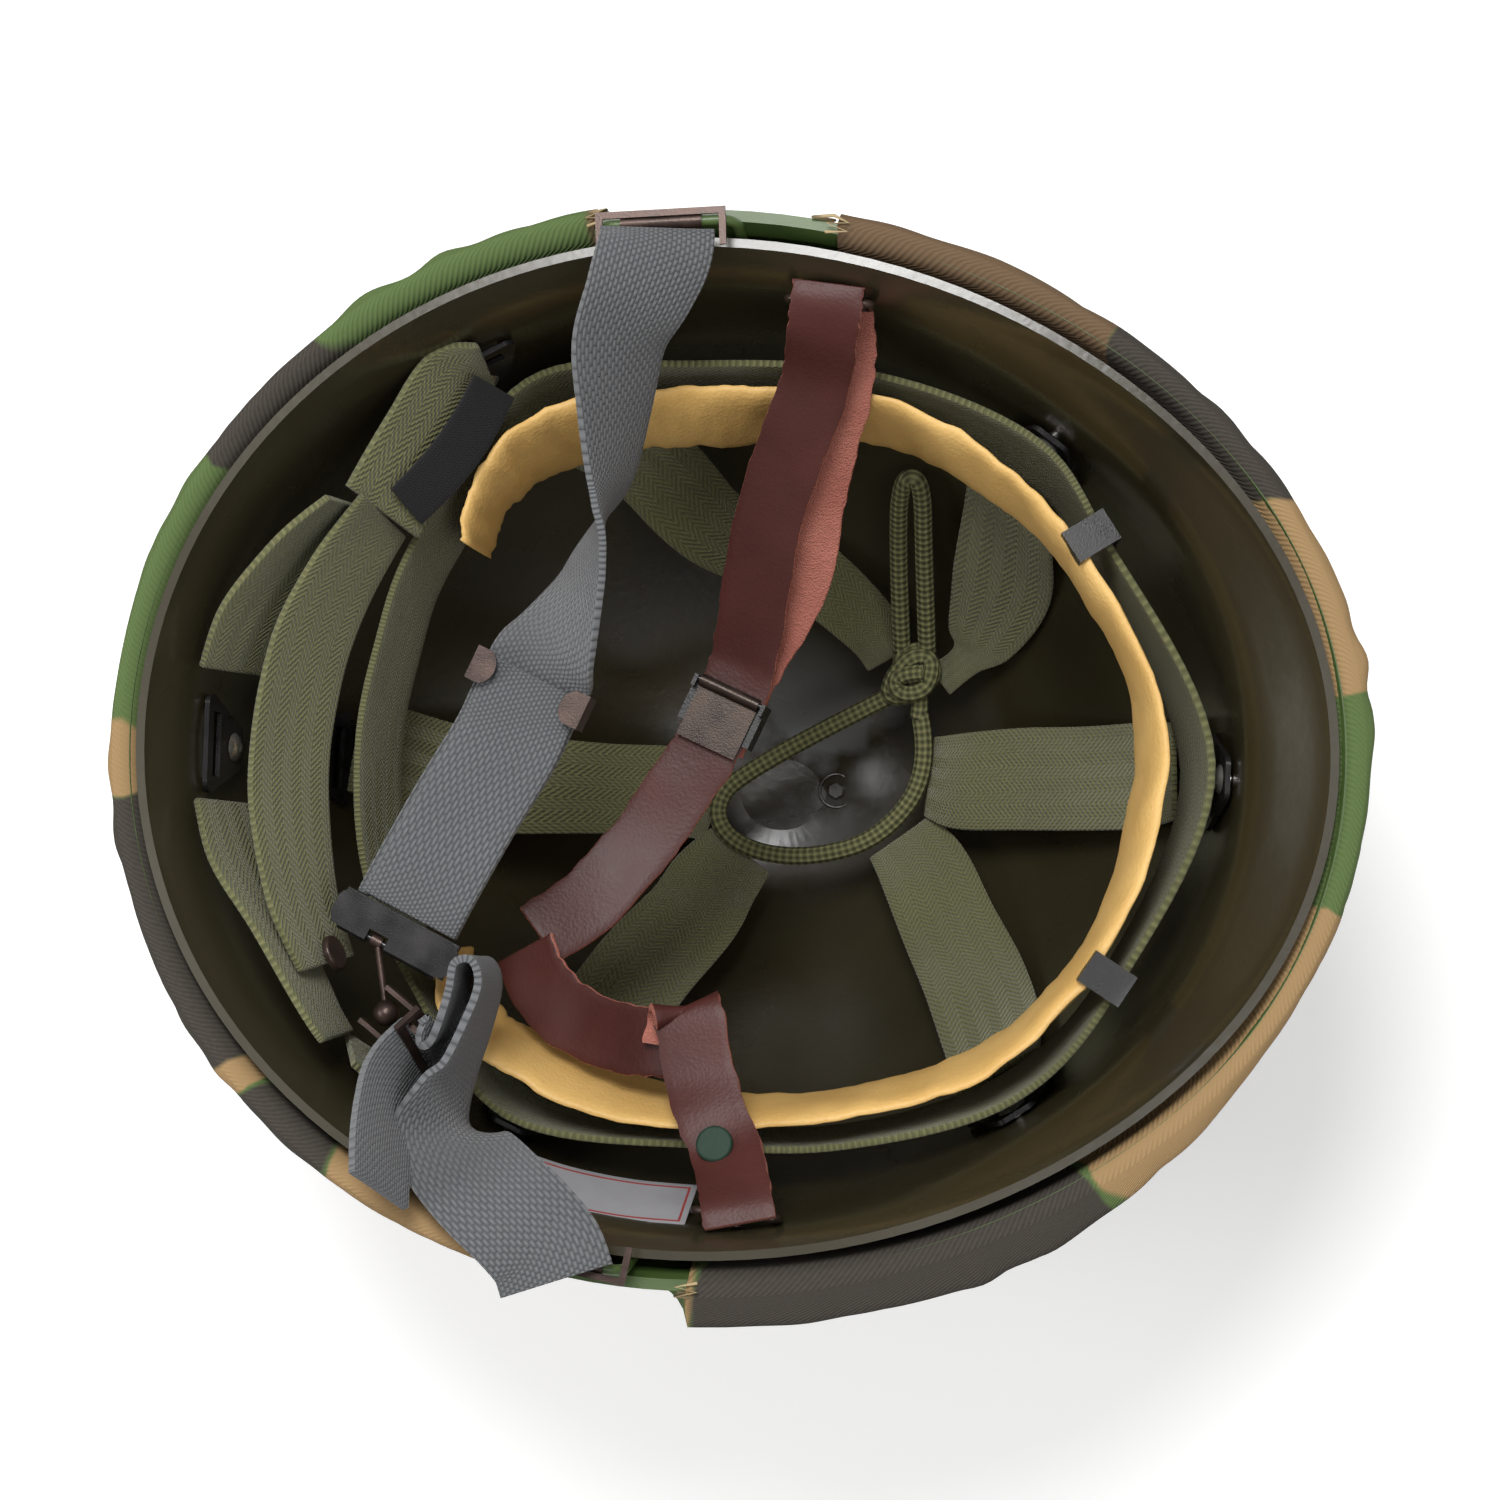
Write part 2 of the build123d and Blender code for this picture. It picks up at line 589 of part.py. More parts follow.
def washer(plane, point_up):
    """Triangular washer plate with a rivet hole at its narrow end and a slot for the web."""
    half_base, half_top, half_height = washer_base / 2, washer_top / 2, washer_height / 2
    corners = [(-half_base, -half_height), (half_base, -half_height)]
    corners += [(half_top, half_height), (-half_top, half_height)]
    plate = extrude(make_face(Polyline(*corners, close=True)), amount=washer_thickness)
    plate = fillet(plate.edges().filter_by(Axis.Z), washer_top / 4)
    plate -= Pos(0, -half_height / 2, 0) * Box(washer_slot_width, washer_slot_height, 4 * washer_thickness)
    plate -= Pos(0, half_height / 2, 0) * Cylinder(rivet_radius + seat_gap / 2, 4 * washer_thickness)
    turned = plate if point_up else Rot(0, 0, 180) * plate
    return plane * Pos(0, 0, washer_stand) * turned


def rivet(plane, point_up):
    """Rivet with a domed head on the washer and a shank to the wall."""
    sign = 1 if point_up else -1
    shank = Cylinder(
        rivet_radius, washer_stand + washer_thickness, align=(Align.CENTER, Align.CENTER, Align.MIN))
    dome_size = (rivet_head_radius ** 2 + rivet_head_height ** 2) / (2 * rivet_head_height)
    dome = Pos(0, 0, rivet_head_height - dome_size) * Sphere(dome_size)
    dome &= Cylinder(
        2 * rivet_head_radius, 2 * rivet_head_height, align=(Align.CENTER, Align.CENTER, Align.MIN))
    whole = Pos(0, 0, seat_gap) * shank + Pos(0, 0, washer_stand + washer_thickness + seat_gap / 2) * dome
    return plane * Pos(0, sign * washer_height / 4, 0) * whole


washers = {}
rivets = []
for name, (turn, height_share) in (headband_washer_shares | nape_washer_shares).items():
    plane = wall_plane(turn, height_share * rim_height, liner_inner)
    washers[name] = washer(plane, name in headband_washer_shares)
    rivets.append(rivet(plane, name in headband_washer_shares))
washer_rivets = Compound(rivets)

# Headband web and the sweatband clipped to it, open at the rear
headband_thickness = 1.8
headband_room = 5.6         # middle of the web off the liner's wall
headband_level_shares = (0.765, 0.62)
headband_plan_shares = [
    (-0.418, 0.765), (-0.124, 0.81), (0.173, 0.799), (0.46, 0.69), (0.59, 0.475), (0.80, 0.03),
    (0.645, -0.42), (0.49, -0.68), (0.197, -0.772), (-0.061, -0.787), (-0.388, -0.746),
    (-0.57, -0.48), (-0.655, -0.269), (-0.682, -0.022), (-0.659, 0.205), (-0.60, 0.43),
]
headband_lean_share = 0.95
headband_far_shares = [
    (along * headband_lean_share, across * headband_lean_share) for along, across in headband_plan_shares]
headband_web = head_ring(
    headband_plan_shares, headband_far_shares, headband_level_shares, headband_room, headband_thickness)

sweatband_thickness = 1.5
sweatband_level_shares = (0.805, 0.63)
sweatband_gap_share = -0.50
sweatband_plan_shares = [
    (-0.57, 0.44), (-0.453, 0.650), (-0.28, 0.735), (-0.108, 0.752), (0.03, 0.755), (0.236, 0.735),
    (0.41, 0.615), (0.55, 0.455), (0.694, 0.156), (0.703, -0.104), (0.605, -0.40), (0.454, -0.60),
    (0.288, -0.689), (0.029, -0.745), (-0.218, -0.735), (-0.396, -0.66), (-0.523, -0.50), (-0.60, 0.0),
]
sweatband_far_shares = [
    (-0.52, 0.44), (-0.428, 0.590), (-0.241, 0.665), (-0.134, 0.673), (0.007, 0.695), (0.219, 0.68),
    (0.398, 0.575), (0.542, 0.420), (0.645, 0.177), (0.645, -0.096), (0.572, -0.382), (0.440, -0.536),
    (0.267, -0.643), (-0.001, -0.69), (-0.223, -0.65), (-0.406, -0.56), (-0.50, -0.45), (-0.56, 0.0),
]
sweatband = head_ring(
    sweatband_plan_shares, sweatband_far_shares, sweatband_level_shares, headband_room, sweatband_thickness)
gap_block = Box(half_length, 2 * lip_side, rim_height, align=(Align.MAX, Align.CENTER, Align.MIN))
sweatband -= Pos(sweatband_gap_share * half_length, 0, 0) * gap_block

# Two spring clips over the sweatband and the headband web
spring_clip_width = 8.0
spring_clip_wall = 0.6
spring_clip_span = 11.0
spring_clip_depth = 12.0
spring_clip_lean = 8.0
spring_clip_shares = [((0.55, 0.455), (0.825, 0.565)), ((0.605, -0.40), (0.856, -0.517))]
spring_clips = []
sweatband_line = skin(sweatband_plan_shares, sweatband_level_shares[0], headband_room, 0)
for (along, across), outward in spring_clip_shares:
    spot = place((along, across, sweatband_level_shares[0]))
    seat = sweatband_line.distance_to_with_closest_points(spot)[1]
    clip_plane = Plane(origin=seat, x_dir=Vector(*outward, 0), z_dir=(0, 0, 1))
    arch = Box(
        spring_clip_span, spring_clip_width, spring_clip_depth, align=(Align.MIN, Align.CENTER, Align.MAX))
    arch -= Pos(spring_clip_wall, 0, -spring_clip_wall) * Box(
        spring_clip_span - 2 * spring_clip_wall, 2 * spring_clip_width, spring_clip_depth,
        align=(Align.MIN, Align.CENTER, Align.MAX))
    back = -sweatband_thickness / 2 - spring_clip_wall - 3 * seat_gap
    seat_back = Pos(back, 0, spring_clip_wall + seat_gap)
    spring_clips.append(clip_plane * Rot(0, spring_clip_lean, 0) * seat_back * arch)
sweatband_clips = Compound(spring_clips)

# Nape strap and the tabs that hold it to the nape washers
nape_width = 25.4
nape_thickness = 1.8
wall_room = 6.2             # middle of a web off the liner's wall where it comes near
nape_shares = [
    ((-0.633, 0.460, 0.850), (0.35, 0.05, -0.93), 1),
    ((-0.695, 0.330, 0.860), (0.45, 0.05, -0.88), 1),
    ((-0.745, 0.180, 0.864), (0.5, 0, -0.86), 1),
    ((-0.768, 0.000, 0.864), (0.5, 0, -0.86), 1),
    ((-0.765, -0.150, 0.864), (0.5, 0, -0.86), 1),
    ((-0.735, -0.320, 0.862), (0.42, 0.05, -0.9), 1),
    ((-0.690, -0.455, 0.856), (0.3, 0.05, -0.95), 1),
]
tab_right_shares = [
    ((-0.525, 0.675, 0.836), (0.85, 0.45, -0.3), 0.8),
    ((-0.560, 0.655, 0.840), (0.7, 0.4, -0.6), 0.95),
    ((-0.607, 0.530, 0.862), (0.3, 0.1, -0.95), 1),
]
tab_rear_right_shares = [
    ((-0.880, 0.130, 0.856), (0.45, 0.1, -0.88), 0.9),
    ((-0.840, 0.245, 0.870), (0.4, 0, -0.9), 1),
    ((-0.765, 0.375, 0.884), (0.3, 0, -0.95), 1),
    ((-0.685, 0.475, 0.895), (0.15, 0.05, -0.98), 1),
]
tab_rear_left_shares = [
    ((-0.880, -0.135, 0.852), (0.45, -0.1, -0.88), 0.9),
    ((-0.840, -0.250, 0.864), (0.4, 0, -0.9), 1),
    ((-0.770, -0.385, 0.880), (0.25, 0, -0.96), 1),
    ((-0.700, -0.520, 0.892), (0.15, 0, -0.98), 1),
    ((-0.655, -0.600, 0.890), (0.1, 0, -1), 1),
]
tab_left_shares = [
    ((-0.652, -0.636, 0.864), (0.2, -0.1, -0.97), 1),
    ((-0.622, -0.680, 0.850), (0.4, -0.2, -0.88), 0.95),
    ((-0.580, -0.715, 0.840), (0.6, -0.3, -0.7), 0.85),
]
nape_strap = ribbon(nape_shares, nape_width, nape_thickness, wall_room)
nape_tab_right = ribbon(tab_right_shares, nape_width, nape_thickness, wall_room)
nape_tab_rear_right = ribbon(tab_rear_right_shares, nape_width, nape_thickness, wall_room)
nape_tab_rear_left = ribbon(tab_rear_left_shares, nape_width, nape_thickness, wall_room)
nape_tab_left = ribbon(tab_left_shares, nape_width, nape_thickness, wall_room)

# Crown webs, from the headband down to the lace ring
crown_width = 25.4
crown_thickness = 1.6
crown_shares = {
    "crown_web_rear": [
        ((-0.735, 0.019, 0.590), along_wall((-0.735, 0.019, 0.590)), 0.9),
        ((-0.68, -0.002, 0.5), along_wall((-0.68, -0.002, 0.5)), 1),
        ((-0.562, -0.027, 0.375), (0, 1, 0), 1), ((-0.364, -0.021, 0.25), (0, 1, 0), 0.9),
        ((-0.215, -0.02, 0.205), (0, 1, 0), 0.9)],
    "crown_web_rear_right": [
        ((-0.397, 0.76, 0.590), along_wall((-0.397, 0.76, 0.590)), 0.9),
        ((-0.276, 0.705, 0.468), along_wall((-0.276, 0.705, 0.468)), 0.95),
        ((-0.145, 0.545, 0.380), (0.65, 0.76, 0), 0.8), ((-0.004, 0.49, 0.265), (0.57, 0.82, 0), 0.72),
        ((0.125, 0.37, 0.216), (0.57, 0.82, 0), 0.6)],
    "crown_web_front_right": [
        ((0.45, 0.69, 0.590), along_wall((0.45, 0.69, 0.590)), 0.9),
        ((0.456, 0.618, 0.477), along_wall((0.456, 0.618, 0.477)), 1),
        ((0.425, 0.48, 0.352), (0.92, -0.38, 0), 1), ((0.367, 0.365, 0.261), (0.85, -0.52, 0), 0.7),
        ((0.312, 0.297, 0.238), (0.8, -0.6, 0), 0.35)],
    "crown_web_front": [
        ((0.77, 0.029, 0.590), along_wall((0.77, 0.029, 0.590)), 0.9),
        ((0.671, 0.028, 0.477), along_wall((0.671, 0.028, 0.477)), 1),
        ((0.541, 0.028, 0.364), (0, 1, 0), 1), ((0.426, 0.031, 0.284), (0, 1, 0), 1),
        ((0.312, 0.027, 0.227), (0, 1, 0), 0.95)],
    "crown_web_front_left": [
        ((0.46, -0.65, 0.590), along_wall((0.46, -0.65, 0.590)), 0.9),
        ((0.425, -0.555, 0.477), along_wall((0.425, -0.555, 0.477)), 1),
        ((0.364, -0.417, 0.352), (0.93, 0.36, 0), 1), ((0.306, -0.30, 0.273), (0.92, 0.4, 0), 0.95),
        ((0.25, -0.175, 0.216), (0.92, 0.4, 0), 0.9)],
    "crown_web_rear_left": [
        ((-0.37, -0.69, 0.590), along_wall((-0.37, -0.69, 0.590)), 0.9),
        ((-0.305, -0.551, 0.432), along_wall((-0.305, -0.551, 0.432)), 1),
        ((-0.243, -0.403, 0.307), (0.88, -0.47, 0), 1), ((-0.181, -0.296, 0.239), (0.86, -0.5, 0), 0.95),
        ((-0.147, -0.215, 0.21), (0.86, -0.5, 0), 0.9)],
}
crown_webs = {}
for name, stations in crown_shares.items():
    crown_webs[name] = ribbon(stations, crown_width, crown_thickness, headband_room)

# Crown lace: a ring of cord with a knot and a looped end
lace_radius = 2.4
lace_bend_share = 0.45
knot_radius = 6.4
knot_shares = (0.212, 0.238, 0.222)
lace_ring_shares = [
    (0.164, 0.210, 0.212), (-0.110, 0.035, 0.193), (-0.161, -0.057, 0.188), (-0.114, -0.134, 0.188),
    (0.010, -0.159, 0.188), (0.161, -0.110, 0.193), (0.255, 0.050, 0.205), (0.228, 0.175, 0.216),
]
lace_end_shares = [
    (0.192, 0.302, 0.227), (0.188, 0.507, 0.335), (0.200, 0.650, 0.455),
    (0.242, 0.656, 0.460), (0.238, 0.506, 0.350), (0.240, 0.302, 0.235),
]


def cord(cord_shares, radius):
    """Cord through places: straight runs joined by arcs as wide as their runs and turns let them be."""
    points = [place(shares) for shares in cord_shares]
    radii = []
    for index in range(1, len(points) - 1):
        before = points[index] - points[index - 1]
        after = points[index + 1] - points[index]
        half_turn = before.get_angle(after) / 2
        run = min(before.length, after.length)
        radii.append(lace_bend_share * run / math.tan(math.radians(half_turn)))
    return wire_path(points, radii, radius)


crown_lace = cord(lace_ring_shares, lace_radius)
lace_end = cord(lace_end_shares, lace_radius)
lace_knot = Pos(*place(knot_shares)) * Sphere(knot_radius)

# Leather chin strap of the liner
leather_width = 16.0
leather_thickness = 1.8
stud_radius = 1.5
stud_neck = 4.1             # room for the wire loop under a stud's head
stud_gap = 0.45
stud_head_radius = 4.2
stud_head_height = 1.4
end_wire_radius = 0.9
end_wire_half = 9.4
end_wire_reach = 6.2
stud_level_share = 0.920
right_stud = wall_point(80, stud_level_share * rim_height, liner_inner)
left_stud = wall_point(275, stud_level_share * rim_height, liner_inner)
stud_way = (left_stud - right_stud).normalized()


def stud_plane(spot, inwards):
    """Plane on a stud: x along the helmet, y up, z inwards along the line through both studs."""
    return Plane(origin=spot, x_dir=Vector(0, 0, 1).cross(inwards), z_dir=inwards)


def stud():
    """Stud head with its shank to the liner."""
    shank = Pos(0, 0, stud_gap) * Cylinder(
        stud_radius, stud_neck, align=(Align.CENTER, Align.CENTER, Align.MIN))
    dome = Pos(0, 0, stud_neck) * Cylinder(
        stud_head_radius, stud_head_height, align=(Align.CENTER, Align.CENTER, Align.MIN))
    return shank + fillet(dome.edges().group_by(Axis.Z)[-1], stud_head_height / 2)


def end_wire():
    """Closed wire that hangs from a stud and carries the strap's end."""
    above = stud_radius + end_wire_radius + running_gap
    bends = [end_wire_radius * 2, end_wire_radius * 2]
    halves = []
    for sign in (-1, 1):
        below = above - end_wire_reach
        points = [Vector(0, above, 0), Vector(sign * end_wire_half, above, 0),
                  Vector(sign * end_wire_half, below, 0), Vector(0, below, 0)]
        halves.append(wire_path(points, bends, end_wire_radius))
    return Pos(0, 0, stud_neck - end_wire_radius - running_gap) * (halves[0] + halves[1])


right_stud_plane = stud_plane(right_stud, stud_way)
left_stud_plane = stud_plane(left_stud, -stud_way)
liner_studs = Compound([right_stud_plane * stud(), left_stud_plane * stud()])
leather_loop_right = right_stud_plane * end_wire()
leather_loop_left = left_stud_plane * end_wire()
strap_drop = end_wire_reach - stud_radius + leather_thickness
strap_stand = stud_neck + seat_gap
right_leather_start = shares_of((right_stud_plane * Pos(0, -strap_drop, strap_stand)).position)
left_leather_start = shares_of((left_stud_plane * Pos(0, -strap_drop, strap_stand)).position)

upper_shares = [
    (right_leather_start, along_wall(right_leather_start), 1), ((0.118, 0.840, 0.882), (1, 0.05, 0), 1),
    ((0.098, 0.750, 0.856), (0.98, -0.15, 0), 1), ((0.062, 0.650, 0.812), (0.98, -0.2, 0), 1),
    ((0.018, 0.520, 0.758), (0.98, -0.2, 0), 1), ((-0.011, 0.370, 0.700), (0.97, -0.22, 0), 1),
    ((-0.032, 0.245, 0.652), (0.95, -0.3, 0), 1), ((-0.047, 0.175, 0.638), (0.92, -0.39, 0), 1),
    ((-0.093, 0.044, 0.638), (0.92, -0.39, 0), 1), ((-0.143, -0.056, 0.637), (0.86, -0.5, 0), 1),
    ((-0.207, -0.175, 0.642), (0.82, -0.57, 0), 1), ((-0.286, -0.295, 0.663), (0.78, -0.62, 0), 1),
    ((-0.365, -0.373, 0.690), (0.72, -0.69, 0), 1),
]
under_shares = [
    ((0.150, 0.835, 0.850), (0.97, 0, -0.2), 1), ((0.132, 0.740, 0.822), (0.97, -0.1, -0.2), 1),
    ((0.100, 0.650, 0.780), (0.97, -0.15, -0.2), 1), ((0.060, 0.520, 0.724), (0.97, -0.15, -0.2), 1),
    ((0.025, 0.370, 0.665), (0.97, -0.2, -0.15), 1), ((-0.020, 0.240, 0.620), (0.95, -0.3, 0), 1),
    ((-0.047, 0.175, 0.612), (0.92, -0.39, 0), 1), ((-0.093, 0.044, 0.612), (0.92, -0.39, 0), 1),
]
low_shares = [
    ((-0.385, -0.400, 0.708), (0.75, 0.6, 0.28), 1), ((-0.355, -0.470, 0.720), (0.7, 0.68, 0.2), 1),
    ((-0.292, -0.535, 0.742), (0.6, 0.78, 0.15), 1), ((-0.199, -0.575, 0.768), (0.35, 0.92, 0.15), 1),
    ((-0.130, -0.580, 0.788), (0.2, 0.97, 0.1), 1),
]
end_shares = [
    ((-0.062, -0.560, 0.815), (1, 0.15, 0.1), 1), ((-0.048, -0.640, 0.832), (1, 0.2, 0.1), 1),
    ((-0.026, -0.710, 0.850), (0.97, 0.25, 0), 1), ((0.005, -0.780, 0.868), (0.96, 0.28, 0), 1),
    ((0.030, -0.845, 0.880), (0.98, 0.1, 0), 1),
    (left_leather_start, along_wall(left_leather_start), 1),
]
leather_strap_upper = ribbon(upper_shares, leather_width, leather_thickness)
leather_strap_return = ribbon(under_shares, leather_width, leather_thickness)
leather_strap_lower = ribbon(low_shares, leather_width, leather_thickness)
leather_strap_end = ribbon(end_shares, leather_width, leather_thickness)

snap_radius = 4.2
snap_height = 1.6
snap_shares = (-0.009, -0.781, 0.867)
snap_face = (-0.10, 0.25, 0.96)
snap_plane = Plane(origin=place(snap_shares), z_dir=snap_face)
snap = Cylinder(snap_radius, snap_height, align=(Align.CENTER, Align.CENTER, Align.MIN))
snap = fillet(snap.edges().group_by(Axis.Z)[-1], snap_height / 2)
leather_snap = snap_plane * Pos(0, 0, leather_thickness / 2 + seat_gap) * snap

# Sliding buckle of the leather strap: a flat sleeve with a hinged plate on it
slide_length = 11.0
slide_wall = 0.9
slide_rise = 7.0
slide_shares = (-0.070, 0.110, 0.625)
slide_way = (0.92, -0.39, 0)
slide_pin_radius = 0.7
slide_plate_length = 14.0
slide_plate_width = 15.0
slide_plane = Plane(origin=place(slide_shares), x_dir=slide_way, z_dir=(0, 0, 1))
slide_half = leather_width / 2 + seat_gap + slide_wall
sleeve = Box(2 * slide_half, slide_length, slide_rise + 2 * slide_wall)
sleeve -= Box(leather_width + 2 * seat_gap, 2 * slide_length, slide_rise)
slide_bore = slide_pin_radius + running_gap
slide_roll_radius = slide_bore + lever_roll_wall
flap_gap = 0.2
slide_pin_height = slide_rise / 2 + slide_wall + flap_gap + slide_roll_radius
lug_height = slide_wall + flap_gap + slide_roll_radius + 2 * slide_pin_radius
pin_line = Pos(0, slide_length / 2 - slide_pin_radius, slide_pin_height) * Rot(0, 90, 0)
for sign in (-1, 1):
    lug = Box(slide_wall, 4 * slide_pin_radius, lug_height,
              align=(Align.CENTER, Align.MAX, Align.MIN))
    lug_place = Pos(sign * (slide_half - slide_wall / 2), slide_length / 2, slide_rise / 2)
    sleeve += lug_place * lug
sleeve += pin_line * Cylinder(slide_pin_radius, 2 * slide_half - slide_wall)
leather_buckle_sleeve = slide_plane * sleeve
plate_roll = Cylinder(slide_roll_radius, slide_plate_width)
slide_flap = pin_line * plate_roll
flap_box = Box(slide_plate_width, slide_plate_length, slide_wall, align=(Align.CENTER, Align.MAX, Align.MIN))
slide_flap += Pos(0, slide_length / 2 - slide_pin_radius, slide_rise / 2 + slide_wall + flap_gap) * flap_box
slide_flap -= pin_line * Cylinder(slide_bore, 4 * slide_half)
leather_buckle_plate = slide_plane * slide_flap

# Snap of the nape strap, and the bare tag and label
nape_snap_shares = (-0.690, -0.440, 0.862)
nape_snap_face = (0.9, 0.38, 0.25)
nape_snap = Plane(origin=place(nape_snap_shares), z_dir=nape_snap_face) * Pos(0, 0, nape_thickness) * snap
tag_thickness = 0.5
tag_width = 17.0
tag_lift = -1.7             # behind the tab, showing past its edge
tag_shift = 6.0
black_tag = ribbon(tab_right_shares, tag_width, tag_thickness, wall_room, tag_lift, tag_shift)
label_thickness = 0.4
label_width = 20.0
label_stand = 0.8
label_turns = [247, 255, 263, 269]
label_level_share = 0.865
label_stations = []
for turn in label_turns:
    plane = wall_plane(turn, label_level_share * rim_height, liner_inner)
    label_stations.append((shares_of(plane.origin + plane.z_dir * label_stand), tuple(plane.y_dir), 1))
wall_label = ribbon(label_stations, label_width, label_thickness)

os.makedirs("parts", exist_ok=True)
nodes = {
    "steel_shell": steel_shell,
    "rim_bead": rim_bead,
    "camouflage_cover": cover,
    "liner_shell": liner_shell,
    "strap_loop_right": strap_loop_right,
    "strap_loop_left": strap_loop_left,
    "loop_hinge_right": loop_hinge_right,
    "loop_hinge_left": loop_hinge_left,
    "strap_clip_right": strap_clip_right,
    "strap_clip_left": strap_clip_left,
    "chin_strap_long": chin_strap_long,
    "chin_strap_return": chin_strap_return,
    "strap_keeper": strap_keeper,
    "buckle_frame": buckle_frame,
    "buckle_lever": buckle_lever,
    "release_ball": release_ball,
    "release_fork": release_fork,
    "strap_end_plate": strap_end_plate,
    "chin_strap_short": chin_strap_short,
    "chin_strap_tail": chin_strap_tail,
    "washer_rivets": washer_rivets,
    "headband_web": headband_web,
    "sweatband": sweatband,
    "sweatband_clips": sweatband_clips,
    "nape_strap": nape_strap,
    "nape_tab_right": nape_tab_right,
    "nape_tab_rear_right": nape_tab_rear_right,
    "nape_tab_rear_left": nape_tab_rear_left,
    "nape_tab_left": nape_tab_left,
    "crown_lace": crown_lace,
    "lace_end": lace_end,
    "lace_knot": lace_knot,
    "leather_strap_upper": leather_strap_upper,
    "leather_strap_return": leather_strap_return,
    "leather_strap_lower": leather_strap_lower,
    "leather_strap_end": leather_strap_end,
    "leather_buckle_sleeve": leather_buckle_sleeve,
    "leather_buckle_plate": leather_buckle_plate,
    "leather_loop_right": leather_loop_right,
    "leather_loop_left": leather_loop_left,
    "leather_snap": leather_snap,
    "liner_studs": liner_studs,
    "nape_snap": nape_snap,
    "black_tag": black_tag,
    "wall_label": wall_label,
}
nodes.update(washers)
nodes.update(crown_webs)
for name, shape in nodes.items():
    export_step(shape, f"parts/{name}.step")
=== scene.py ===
import bpy
import bmesh
import math
from mathutils import Matrix, Vector, noise


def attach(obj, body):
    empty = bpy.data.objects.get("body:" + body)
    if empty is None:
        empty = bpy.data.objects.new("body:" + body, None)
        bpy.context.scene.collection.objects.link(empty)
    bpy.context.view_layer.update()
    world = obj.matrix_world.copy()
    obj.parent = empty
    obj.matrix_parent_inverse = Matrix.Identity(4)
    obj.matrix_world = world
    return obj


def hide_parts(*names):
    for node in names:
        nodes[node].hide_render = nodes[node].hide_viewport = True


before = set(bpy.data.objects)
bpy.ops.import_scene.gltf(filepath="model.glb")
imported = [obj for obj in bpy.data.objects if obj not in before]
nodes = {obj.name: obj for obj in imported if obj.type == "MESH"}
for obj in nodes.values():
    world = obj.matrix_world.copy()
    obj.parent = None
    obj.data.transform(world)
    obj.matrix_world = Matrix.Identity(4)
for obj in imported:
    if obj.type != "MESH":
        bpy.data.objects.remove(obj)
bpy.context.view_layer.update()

# Floor, light and camera.
# The helmet lies on its crown on a white table under a large soft lamp, with two weak lamps beside it.
# The camera looks almost straight down into it, as in the photograph.
MM = 0.001


def sum_of(tree, operation, *inputs):
    """Math node of a tree, fed by sockets or numbers."""
    node = tree.nodes.new("ShaderNodeMath")
    node.operation = operation
    for socket, value in zip(node.inputs, inputs):
        if isinstance(value, bpy.types.NodeSocket):
            tree.links.new(value, socket)
        else:
            socket.default_value = value
    return node.outputs[0]


def new_material(name, values):
    """Material, its node tree and its shader, with some of the shader's inputs set."""
    material = bpy.data.materials.new(name)
    material.use_nodes = True
    shader = material.node_tree.nodes["Principled BSDF"]
    for label, value in values.items():
        shader.inputs[label].default_value = value
    return material, material.node_tree, shader


def new_piece(name, shape, *materials, smooth=True):
    """Object made from a bmesh, which is freed."""
    mesh = bpy.data.meshes.new(name)
    shape.to_mesh(mesh)
    shape.free()
    for polygon in mesh.polygons:
        polygon.use_smooth = smooth
    for material in materials:
        mesh.materials.append(material)
    piece = bpy.data.objects.new(name, mesh)
    bpy.context.collection.objects.link(piece)
    return piece


white_paper, tree, shader = new_material(
    "white_paper", {"Roughness": 0.9, "Base Color": (0.9, 0.9, 0.9, 1), "Emission Color": (1, 1, 1, 1)})
paper_glow = 0.26
seen_by_camera = tree.nodes.new("ShaderNodeLightPath").outputs["Is Camera Ray"]
tree.links.new(sum_of(tree, "MULTIPLY", seen_by_camera, paper_glow), shader.inputs["Emission Strength"])
floor_shape = bmesh.new()
bmesh.ops.create_grid(floor_shape, x_segments=1, y_segments=1, size=6)
floor = new_piece("floor", floor_shape, white_paper, smooth=False)
floor.location.z = -0.0004

world = bpy.data.worlds.new("soft_room")
world.use_nodes = True
world.node_tree.nodes["Background"].inputs["Color"].default_value = (1, 1, 1, 1)
world.node_tree.nodes["Background"].inputs["Strength"].default_value = 0.42
bpy.context.scene.world = world

for name, width, energy, place, aim in (
        ("soft_lamp", 0.5, 13, (-0.05, 0.45, 1.3), (0, 0, 0.12)),
        ("front_lamp", 0.4, 3, (-0.75, -0.1, 0.75), (0.05, 0, 0.12)),
        ("side_lamp", 0.45, 3, (0.5, -0.35, 1.3), (0, 0, 0.1))):
    lamp_data = bpy.data.lights.new(name, "AREA")
    lamp_data.shape = "DISK"
    lamp_data.size = width
    lamp_data.energy = energy
    lamp = bpy.data.objects.new(name, lamp_data)
    lamp.location = place
    lamp.rotation_euler = (Vector(aim) - lamp.location).to_track_quat("-Z", "Y").to_euler()
    bpy.context.collection.objects.link(lamp)

view_way = Vector((0.125, -0.072, 1)).normalized()
camera_roll = math.radians(2.1)
picture_right = Vector((math.cos(camera_roll), math.sin(camera_roll), 0))
picture_right = (picture_right - view_way * picture_right.dot(view_way)).normalized()
picture_up = view_way.cross(picture_right)
camera_data = bpy.data.cameras.new("camera")
camera_data.lens = 100
camera_data.sensor_width = 36
camera = bpy.data.objects.new("camera", camera_data)
camera.matrix_world = Matrix((picture_right, picture_up, view_way)).transposed().to_4x4()
camera.location = (0.1185, -0.0660, 1.0818)
bpy.context.collection.objects.link(camera)
bpy.context.scene.camera = camera
bpy.context.scene.view_settings.view_transform = "Standard"


